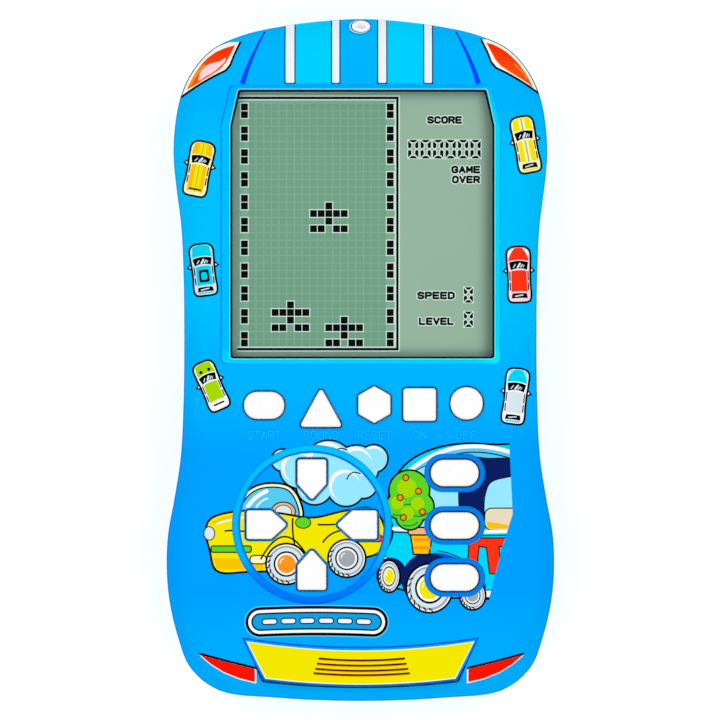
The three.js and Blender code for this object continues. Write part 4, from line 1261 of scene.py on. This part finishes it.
def van():
    """A rounded van seen from its left side, cut off by the artwork's right edge."""
    body = [
        (7.2, -36), (8.6, -30.4), (12, -26), (17.5, -22.9), (25, -21.3), (33, -21.5), (44, -22.6), (46, -40),
        (44, -60), (30, -59.6), (21, -59.4), (11, -57.6), (6, -56), (4.8, -51.4), (7, -47.4), (8.4, -43.6),
    ]
    screen = [(8.9, -38), (10.4, -32), (14, -28), (19, -26), (26, -25.6), (26, -40.6), (9.6, -41)]
    side = [(26.4, -25), (32, -24.8), (39, -25.6), (39.5, -33), (31.4, -33.4), (30.6, -41), (26, -41)]
    rear = [(32.4, -31.4), (36, -29.8), (40, -29.8), (40, -40), (32, -40.2)]
    door = np.array([
        (27.4, -44.9), (40, -44.9), (40, -46.5), (34.7, -46.8), (35.2, -53.6), (32.6, -53.6), (31.8, -47),
        (29.7, -46.7), (29.2, -52), (27.2, -52),
    ])
    return [
        *inked("aqua", smooth_loop(body)),
        curve("sky", (8.6, -33), (38.4, -24.6), 4.9, 2.6, 24),
        curve("white", (9.8, -30.2), (38.4, -23.4), 4.6, 1.0, 24),
        curve("black", (10.6, -31.6), (39, -25.2), 4.8, 0.3, 24),
        *inked("pale_sky", smooth_loop(screen, 60), 0.25),
        *inked("navy", smooth_loop(side, 60), 0.2),
        *inked("pale_sky", smooth_loop(rear, 48), 0.25),
        *inked("beige", box_loop(31.4, 40, -42.6, -37.4, 1.6), 0.3),
        ("amber", np.array([(31.7, -40.6), (34.6, -41), (38.4, -41.8), (38.4, -42.4), (32, -42.4)])),
        ("white", stroke([(8.4, -42.4), (20, -42.9), (30, -43.2), (40, -43)], 0.9)),
        ("black", stroke([(8.6, -43.3), (20, -43.9), (30, -44.2), (40, -44)], 0.3)),
        *inked("red", door, 0.3),
        curve("deep_blue", (19, -50), (30, -57), 1.6, 3.2),
        curve("black", (19.4, -48), (30.6, -55.6), 1.7, 0.3),
        *inked("pale", circle(6.3, -51, 1.0, 24, 1.4), 0.22),
        ("navy", circle(17, -55.2, 6.7)),
        ("navy", circle(7.6, -53.6, 3.9, 40)),
        *inked("white", box_loop(20, 34, -59.6, -58, 0.5), 0.25),
        *wheel(7.2, -54.4, 3.8, "yellow", 0.66),
        *wheel(17.4, -57.4, 5.9, "yellow", 0.95),
        *wheel(28.2, -59.2, 3.4, "grey", 0.9),
    ]


def artwork():
    """The artwork, cut out round the ring, the direction keys and the action keys' collars."""
    around = [circle(CROSS["x"], CROSS["y"], radius, 144) for radius in (RING[1] + 0.1, RING[0] - 0.1)]
    around += [key_outline("key_" + way, GAP + 0.25) for way in WAYS]
    width, high = ACTION["collar"]
    around += [rounded(rectangle(width, high), 4.6, 0.15, 14) + (ACTION["x"], y) for y in ACTION["ys"]]
    edge = np.array([
        (4, -19), (37.5, -19), (37.5, -22.4), (38.3, -38.7), (35.8, -46.6), (32.4, -59.8), (32, -64),
        (4, -64),
    ])
    printed("cloud_print", cloud(), height_at, cuts=around)
    printed("toy_car_print", toy_car(), over_ink, cuts=around)
    printed("van_print", van() + bush(), height_at, cuts=around, clip=edge[::-1])


def road_strip():
    """A short stretch of road with dashes, inside a white and black line."""
    middle = bow((-25.2, -65.9), (3.2, -65.9), 0.35, 24)
    layers = (("sky", 8), ("black", 7.4), ("white", 6), ("black", 4.5), ("mid_blue", 3.7))
    shapes = [(ink, stroke(middle, width)) for ink, width in layers]
    for i in range(6):
        a, b = middle[4 * i + 1], middle[4 * i + 3]
        for ink, width in (("navy", 1.7), ("white", 1.05)):
            shapes.append((ink, stroke([a, (a + b) / 2, b], width)))
    return printed("road_strip_print", shapes, height_at)


lamp_material = lamp_plastic()
bonnet_print()
badge()
panel_print()
for side in (-1, 1):
    headlight(side)
    tail_lamp(side)
TWIN = [(-0.2, 0.14, "yellow"), (0.2, 0.14, "yellow"), (0, 0.04, "olive")]
PALE_MIDDLE = [(0, 0.26, "cream"), (0, 0.07, "olive")]
small_car(1, -40.6, 48.1, 6.6, 14.4, 11.5, "amber", "amber", "cream", tail=-0.88, bands=TWIN)
small_car(2, -39.5, 22.7, 6.5, 13.6, -7, "aqua", "aqua", "pale", boot="aqua", sunroof=True)
small_car(3, -37.5, -6.5, 6.1, 13.4, -23.6, "lime", "lime", "white", dots=True)
small_car(4, 41.6, 54.2, 6.4, 14.8, -11, "yellow", "yellow", "cream", bands=PALE_MIDDLE, boot="yellow")
small_car(5, 39.9, 21.5, 6.5, 14.6, -2, "red", "red", "pink", lamps="white", boot="pink")
small_car(6, 39.0, -9.1, 6.4, 14.6, 7, "aqua", "pale", "white", lamps="pale_sky", boot="aqua")
artwork()
road_strip()

# ---- Display ------------------------------------------------------------------------------------

GRID = {"columns": 20, "rows": 32, "x": -29.2, "top": 64.5, "pitch": (1.932, 1.916), "block": 1.6}
DISPLAY_TOP = node_box("display_polariser")[1][2]


def cell_loop(column, row, size):
    """One square of the playing field, counted from the top left."""
    x = GRID["x"] + column * GRID["pitch"][0]
    y = GRID["top"] - GRID["block"] / 2 - row * GRID["pitch"][1]
    half = size / 2
    return box_loop(x - half, x + half, y - half, y + half)


def zero_digit(x, y, width, height, thick=0.84):
    """The six outer bars of a seven-segment digit, mitred where they meet."""
    w, h, gap = width / 2, height / 2, 0.2
    bars = []
    for v in (-1, 1):
        inner = v * (h - thick + gap)
        bars.append([(-w + gap, v * h), (w - gap, v * h), (w - thick, inner), (-w + thick, inner)])
        for s in (-1, 1):
            bars.append([
                (s * w, v * (h - gap)), (s * (w - thick), v * (h - thick - gap)), (s * (w - thick), v * 0.5),
                (s * (w - thick / 2), v * 0.16), (s * w, v * 0.4),
            ])
    return [anticlockwise(np.array(bar) + (x, y)) for bar in bars]


# Letters as strokes on a grid four wide and six high.
BOWL = [(0, 2.8), (3, 2.8), (4, 3.6), (4, 5.2), (3, 6), (0, 6), (0, 0)]
OPEN = [(4, 4.8), (3, 6), (1, 6), (0, 4.8), (0, 1.2), (1, 0), (3, 0), (4, 1.2)]
LETTERS = {
    "A": [[(0, 0), (2, 6), (4, 0)], [(0.8, 2), (3.2, 2)]],
    "C": [OPEN],
    "D": [[(0, 0), (0, 6), (2.6, 6), (4, 4.6), (4, 1.4), (2.6, 0), (0, 0)]],
    "E": [[(4, 6), (0, 6), (0, 0), (4, 0)], [(0, 3), (3.6, 3)]],
    "F": [[(4, 6), (0, 6), (0, 0)], [(0, 3), (3.6, 3)]],
    "G": [OPEN + [(4, 2.8), (2.4, 2.8)]],
    "L": [[(0, 6), (0, 0), (3.8, 0)]],
    "M": [[(0, 0), (0, 6), (2, 1.8), (4, 6), (4, 0)]],
    "N": [[(0, 0), (0, 6), (4, 0), (4, 6)]],
    "O": [OPEN + OPEN[:1]],
    "P": [BOWL],
    "R": [BOWL, [(2, 2.8), (4, 0)]],
    "S": [[
        (4, 5), (3, 6), (1, 6), (0, 5), (0, 4), (1, 3.2), (3, 2.8), (4, 2), (4, 1), (3, 0), (1, 0), (0, 1),
    ]],
    "T": [[(0, 6), (4, 6)], [(2, 6), (2, 0)]],
    "U": [[(0, 6), (0, 1.2), (1, 0), (3, 0), (4, 1.2), (4, 6)]],
    "V": [[(0, 6), (2, 0), (4, 6)]],
}


def word(text, x, y, width, height, weight):
    """The bars of a word centred on x, y: one rounded bar for each stretch of a stroke."""
    each = (width - weight) / (len(text) + 0.5 * (len(text) - 1))
    bars = []
    for i, letter in enumerate(text):
        corner = np.array([x - (width - weight) / 2 + 1.5 * each * i, y - (height - weight) / 2])
        for line in LETTERS[letter]:
            at = corner + np.array(line) * (each / 4, (height - weight) / 6)
            bars += [stroke(at[k:k + 2], weight) for k in range(len(at) - 1)]
    return bars


def display_print():
    """The playing field with its faint squares, the lit squares, the field's line, the digits and words."""
    line, rim = 0.62, 0.34
    field = np.array((-31, 9.62, 2.42, 66.3))
    shapes = [("halo", box_loop(*(field + (0, rim, -rim, rim)))), ("segment", box_loop(*field))]
    shapes.append(("halo", box_loop(*(field + (-0.1, -line, line, -line)))))
    shapes.append(("field", box_loop(*(field + (-0.1, -line - rim, line + rim, -line - rim)))))
    last = GRID["columns"] - 1
    lit = {(column, row) for column in (0, last) for row in range(GRID["rows"]) if row % 3 != 2}
    for column, row in ((11, 13), (6, 26), (13, 28)):
        lit |= {(column, row), (column, row + 2)}
        lit |= {(column + i, row + 1) for i in range(-2, 3)}
        lit |= {(column + i, row + 3) for i in (-2, -1, 1, 2)}
    columns, rows = range(1, last), range(GRID["rows"])
    shapes += [("ghost", cell_loop(column, row, GRID["block"])) for column in columns for row in rows]
    bars = [cell_loop(column, row, 1.74) for column, row in sorted(lit)]
    for i in range(6):
        bars += zero_digit(13.3 + 3.14 * i, 53.1, 2.6, 4.7)
    for y, high in ((16.4, 3.9), (10.25, 3.9)):
        bars += zero_digit(27.2, y, 2.3, high)
    for text, x, y, width in (
        ("SCORE", 21.2, 60.45, 8.8), ("GAME", 26.55, 47.95, 7.3), ("OVER", 26.6, 45.45, 7.1),
        ("SPEED", 19.05, 16.25, 9.5), ("LEVEL", 19.15, 9.75, 8.9),
    ):
        bars += word(text, x, y, width, 1.95, 0.55)
    shapes += [("halo", grown(bar, 0.24)) for bar in bars] + [("segment", bar) for bar in bars]
    return printed("display_segments", shapes, DISPLAY_TOP, "display_film")


display_print()
LABELS = [
    ("START", -24.2, 8.4), ("SOUND", -9.9, 8.8), ("RESET", 3.6, 8.6), ("ON", 14.9, 3.4), ("OFF", 26.6, 5.2),
]
letters = [bar for text, x, width in LABELS for bar in word(text, x, -18.9, width, 2.2, 0.3)]
printed("key_labels", [("moulded", bar) for bar in letters], FACE, high=0.16)
under_window = node_box("screen_window")[0][2] - 2 * INK_HIGH
border = [("black", window_outline(1.25, 1.2))]
printed("window_border", border, under_window, "window", cuts=[window_outline(-0.45, 0.5)])

# ---- Key pads and their domes -------------------------------------------------------------------

BOARD_TOP = node_box("main_board")[1][2]
DOME_TOP = node_box("function_key_pad")[1][2]
WEB_TOP = BOARD_TOP + 1
DOME_FOOT = 3.0


def dome_place(name):
    """Where a key's dome stands: under its middle, or a fixed way out from the direction cluster's middle."""
    x, y, corners, radius = KEYS[name]
    if x != CROSS["x"]:
        return x, y
    away = corners.mean(axis=0) / np.linalg.norm(corners.mean(axis=0))
    return tuple(np.array([x, y]) + away * 13.35)


def silicone_dome(name, pad):
    """A hollow dome with a thin skirt and a carbon pill."""
    x, y = dome_place(name)
    foot, top = BOARD_TOP + 0.05, DOME_TOP
    profile = [
        (0.01, foot + 1.3), (1.5, foot + 1.3), (1.6, foot + 1.9), (1.9, foot + 1.9), (2.45, foot),
        (DOME_FOOT, foot), (DOME_FOOT, WEB_TOP), (2.75, WEB_TOP + 0.1), (2.3, top - 1.2), (2.2, top - 0.15),
        (2.05, top), (0.01, top),
    ]
    dome = lathe(name.replace("key_", "dome_"), x, y, profile, 40)
    tidy(dome, 40)
    finished(dome, "housing", "silicone", pad)
    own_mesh(dome)


def key_pad(node, names, outline):
    """The thin sheet that joins a group of domes, with a rounded outline."""
    web = prism(node + "_web", outline, BOARD_TOP, WEB_TOP - 0.1)
    for name in names:
        x, y = dome_place(name)
        carve(web, lathe("room", x, y, [(DOME_FOOT + 0.02, 0), (DOME_FOOT + 0.02, 40)], 40))
        silicone_dome(name, node)
    return finished(tidy(web), "housing", "silicone", node)


def pads():
    """The three key pads: a sheet under the function keys, a cross, and a sheet under the action keys."""
    function_keys = ["key_start_pause", "key_sound", "key_reset", "key_on", "key_off"]
    action_keys = ["key_action_" + spot for spot in SPOTS]
    reach, half = 17.2, 4.6
    arm = [(-half, -reach), (half, -reach), (half, -half)]
    cross = np.vstack([place(arm, turn=90 * quarter) for quarter in range(4)])

    def sheet(node):
        low, high = node_box(node)
        return box_loop(low[0], high[0], low[1], high[1], 2)

    key_pad("function_key_pad", function_keys, sheet("function_key_pad"))
    key_pad("direction_key_pad", ["key_" + way for way in WAYS], cross + (CROSS["x"], CROSS["y"]))
    key_pad("action_key_pad", action_keys, sheet("action_key_pad"))


def board_print():
    """Carbon contacts under the domes, and the copper tracks that join them to the chip."""
    chip = np.mean(node_box("chip_blob"), axis=0)[:2]
    shapes = []
    for i, name in enumerate(KEYS):
        x, y = dome_place(name)
        lane = chip[0] - 6 + i
        bend = [(lane, y - 0.5 * i)] if abs(x - lane) > 1 else []
        route = [(x, y)] + bend + [(lane, chip[1])]
        shapes += [("trace", stroke(route[k:k + 2], 0.5)) for k in range(len(route) - 1)]
    for name in KEYS:
        x, y = dome_place(name)
        shapes += [("trace", circle(x, y, 2.4, 32)), ("black", circle(x, y, 2.1, 32))]
        for k in range(-2, 3):
            reach, up, half = 1.5 - 0.3 * abs(k), y + 0.7 * k, 0.09
            left, right = (x + side * reach + (0.4 if k % 2 else -0.4) for side in (-1, 1))
            shapes.append(("trace", box_loop(left, right, up - half, up + half)))
    return printed("board_tracks", shapes, BOARD_TOP, "board")


pads()
board_print()

# ---- Screws, cells and springs ------------------------------------------------------------------


def screw(node, body, shank, head_high=1.5):
    """A pan-head screw, head down, with a cross recess and a cut thread."""
    low, high = node_box(node)
    x, y = ((low + high) / 2)[:2]
    head = (high - low)[1] / 2
    under, end = low[2] + head_high, high[2]
    profile = [(head * share, low[2] + up) for share, up in ((0.55, 0), (0.82, 0.12), (0.96, 0.5), (1, 0.9))]
    profile += [(head, under), (shank * 0.82, under + 0.02), (shank * 0.82, under + 0.5)]
    pitch = 0.8
    turns = int((end - under - 1.6) / pitch)
    for i in range(turns):
        z = under + 0.5 + pitch * i
        profile += [(shank * 0.8, z + pitch * 0.4), (shank, z + pitch * 0.7)]
    profile += [(shank * 0.7, end - 0.7), (shank * 0.15, end)]
    piece = lathe(node + "_fine", x, y, profile, 32)
    arm, half = head * 0.6, 0.28
    for a, b in ((arm, half), (half, arm)):
        carve(piece, block("bar", x - a, x + a, y - b, y + b, low[2] - 1, low[2] + 0.85))
    return finished(tidy(piece, 35), body, "screw", node)


def lying(obj, side, x, y, z):
    """Turns a piece made about a vertical axis so that its top points along +X or -X, and moves it."""
    turn = Matrix.Rotation(side * math.pi / 2, 4, "Y")
    obj.data.transform(Matrix.Translation(Vector((x, y, z)) * MM) @ turn)
    return obj


def cell(node, side):
    """An AA cell: steel can, printed jacket with a copper band, and a nub that points along side."""
    low, high = node_box(node)
    y, z = ((low + high) / 2)[1:]
    length, radius = high[0] - low[0], 7.06
    profile = [
        (0.01, 0.4), (3.6, 0.4), (4.0, 0), (6.3, 0), (6.75, 0.3), (6.8, 0.8), (radius - 0.08, 0.9),
        (radius, 1.2), (radius, 36), (radius, 36.05), (radius, 48.2), (radius - 0.15, 48.6), (6.5, 48.7),
        (6.3, 49.1), (3.3, 49.2), (2.85, 49.35), (2.7, length - 0.3), (2.4, length), (0.01, length),
    ]
    sides = 64
    piece = lathe(node + "_fine", 0, 0, profile, sides)
    lying(piece, side, low[0] if side > 0 else high[0], y, z)
    finished(shade(piece, 30), "housing", "cell_jacket", node)
    for material in (MATERIALS["contact"], MATERIALS["brass"]):
        piece.data.materials.append(material)
    caps, steel, copper = 2, 1, 2
    for i, face in enumerate(piece.data.polygons):
        ring = (i - caps) // sides
        bare = i < caps or ring < 6 or ring > 11
        face.material_index = steel if bare else copper if ring in (9, 10) else 0
    marks = []
    for at, upright in ((44, True), (6, False)):
        x = (low[0] + at) if side > 0 else (high[0] - at)
        bottom = z - radius
        marks.append(block("bar", x - 1.5, x + 1.5, y - 0.3, y + 0.3, bottom - 0.03, bottom + 0.3))
        if upright:
            bar = block("bar", x - 0.3, x + 0.3, y - 1.5, y + 1.5, bottom - 0.03, bottom + 0.3)
            add(marks[-1], bar)
    signs = join(node + "_marks", marks)
    signs.data.materials.append(inks["white"])
    return settle(shade(signs), "housing", "cell_jacket")


def tube(name, path, radius, sides=10):
    """A round wire along a path of points, with flat ends."""
    p = np.asarray(path, float)
    along = np.gradient(p, axis=0)
    along /= np.linalg.norm(along, axis=1)[:, None]
    across = np.cross(along[0], (0, 0, 1) if abs(along[0][2]) < 0.9 else (1, 0, 0))
    vertices, faces = [], []
    for point, direction in zip(p, along):
        across = across - direction * (across @ direction)
        across /= np.linalg.norm(across)
        other = np.cross(direction, across)
        angles = np.arange(sides) * TAU / sides
        vertices += [point + radius * (math.cos(a) * across + math.sin(a) * other) for a in angles]
    for i in range(len(p) - 1):
        for k in range(sides):
            a, b = i * sides + k, i * sides + (k + 1) % sides
            faces.append([a, b, b + sides, a + sides])
    last = len(vertices) - sides
    faces += [list(range(sides))[::-1], [last + k for k in range(sides)]]
    return mesh_object(name, vertices, faces)


def spring(node):
    """A conical coil spring, wide at its contact plate and narrow at the cell, with a closed last turn."""
    low, high = node_box(node)
    side = 1 if low[0] > 0 else -1
    y, z = ((low + high) / 2)[1:]
    wire, wide, narrow = 0.4, 3.65, 2.6
    ends = sorted((abs(low[0]), abs(high[0])))
    outer, inner = ends[1] - 0.45, ends[0] + 0.45
    turns, closed, points = 3.5, 0.9, 132
    path = []
    for i in range(points):
        turn = (turns + closed) * i / (points - 1)
        t = min(turn / turns, 1)
        radius = wide + (narrow - wide) * t - (turn - turns) * 0.6 * (turn > turns)
        across, up = polar(radius, TAU * turn)
        path.append((side * (outer + (inner - outer) * t), y + across, z + up))
    return finished(shade(tube(node + "_fine", path, wire), 60), "housing", "contact", node)


for i in range(6):
    screw(f"case_screw_{i + 1}", "housing", 1.1)
for i in range(4):
    screw(f"board_screw_{i + 1}", "housing", 0.8)
screw("battery_door_screw", "battery_door", 1.1)
cell("battery_cell_lower", 1)
cell("battery_cell_upper", -1)
spring("negative_spring")
spring("bridge_spring")

# ---- Stage --------------------------------------------------------------------------------------


def studio_world():
    """A soft white sky that looks fully white behind the object and lights it more gently."""
    world = bpy.data.worlds.new("studio")
    world.use_nodes = True
    tree = world.node_tree
    seen = add_node(tree, "LightPath")["Is Camera Ray"]
    strength = add_node(tree, "MapRange", {"Value": seen, "To Min": 0.4})["Result"]
    feed(tree, tree.nodes["Background"], {"Strength": strength, "Color": (1, 1, 1, 1)})
    return world


def studio_floor():
    """A pale floor just under the object, seen only from above, so that a view from below shows the back."""
    half, gap = 1500, 0.2
    corners = [(x, y, -gap) for x, y in rectangle(2 * half, 2 * half)]
    floor = mesh_object("floor", corners, [[0, 1, 2, 3]])
    glow = {"Emission_Color": (1, 1, 1, 1), "Emission_Strength": 0.52}
    pale = surface("floor", (224, 225, 226), 0.9, spread=0.005, **glow)
    tree = pale.node_tree
    above = tree.nodes["Principled BSDF"].outputs["BSDF"]
    clear = add_node(tree, "BsdfTransparent")["BSDF"]
    below = add_node(tree, "NewGeometry")["Backfacing"]
    one_sided = add_node(tree, "MixShader", {"Fac": below, 1: above, 2: clear})["Shader"]
    feed(tree, tree.nodes["Material Output"], {"Surface": one_sided})
    floor.data.materials.append(pale)


def softbox(azimuth):
    """A large square light that stands off to one side and shines at the object."""
    away, up = 0.87, 0.97
    light = bpy.data.lights.new("softbox", "AREA")
    light.size = 0.5
    light.energy = 3.5
    lamp = scene_object("softbox", light)
    lamp.location = (*polar(away, math.radians(azimuth)), up)
    lamp.rotation_euler = (-lamp.location).to_track_quat("-Z", "Y").to_euler()


def overhead_camera():
    """A long lens that looks straight down, with +Y up the picture."""
    camera = bpy.data.cameras.new("camera")
    camera.sensor_width = 36
    distance, field, aside = 2.4, 0.18105, -0.0001
    camera.lens = camera.sensor_width * distance / field
    camera.clip_end = 20
    holder = scene_object("camera", camera)
    holder.location = (aside, 0, distance + FACE * MM)
    return holder


bpy.context.scene.view_settings.view_transform = "Standard"
bpy.context.scene.world = studio_world()
bpy.context.scene.camera = overhead_camera()
studio_floor()
for azimuth in (45, 135, 225, 315):
    softbox(azimuth)
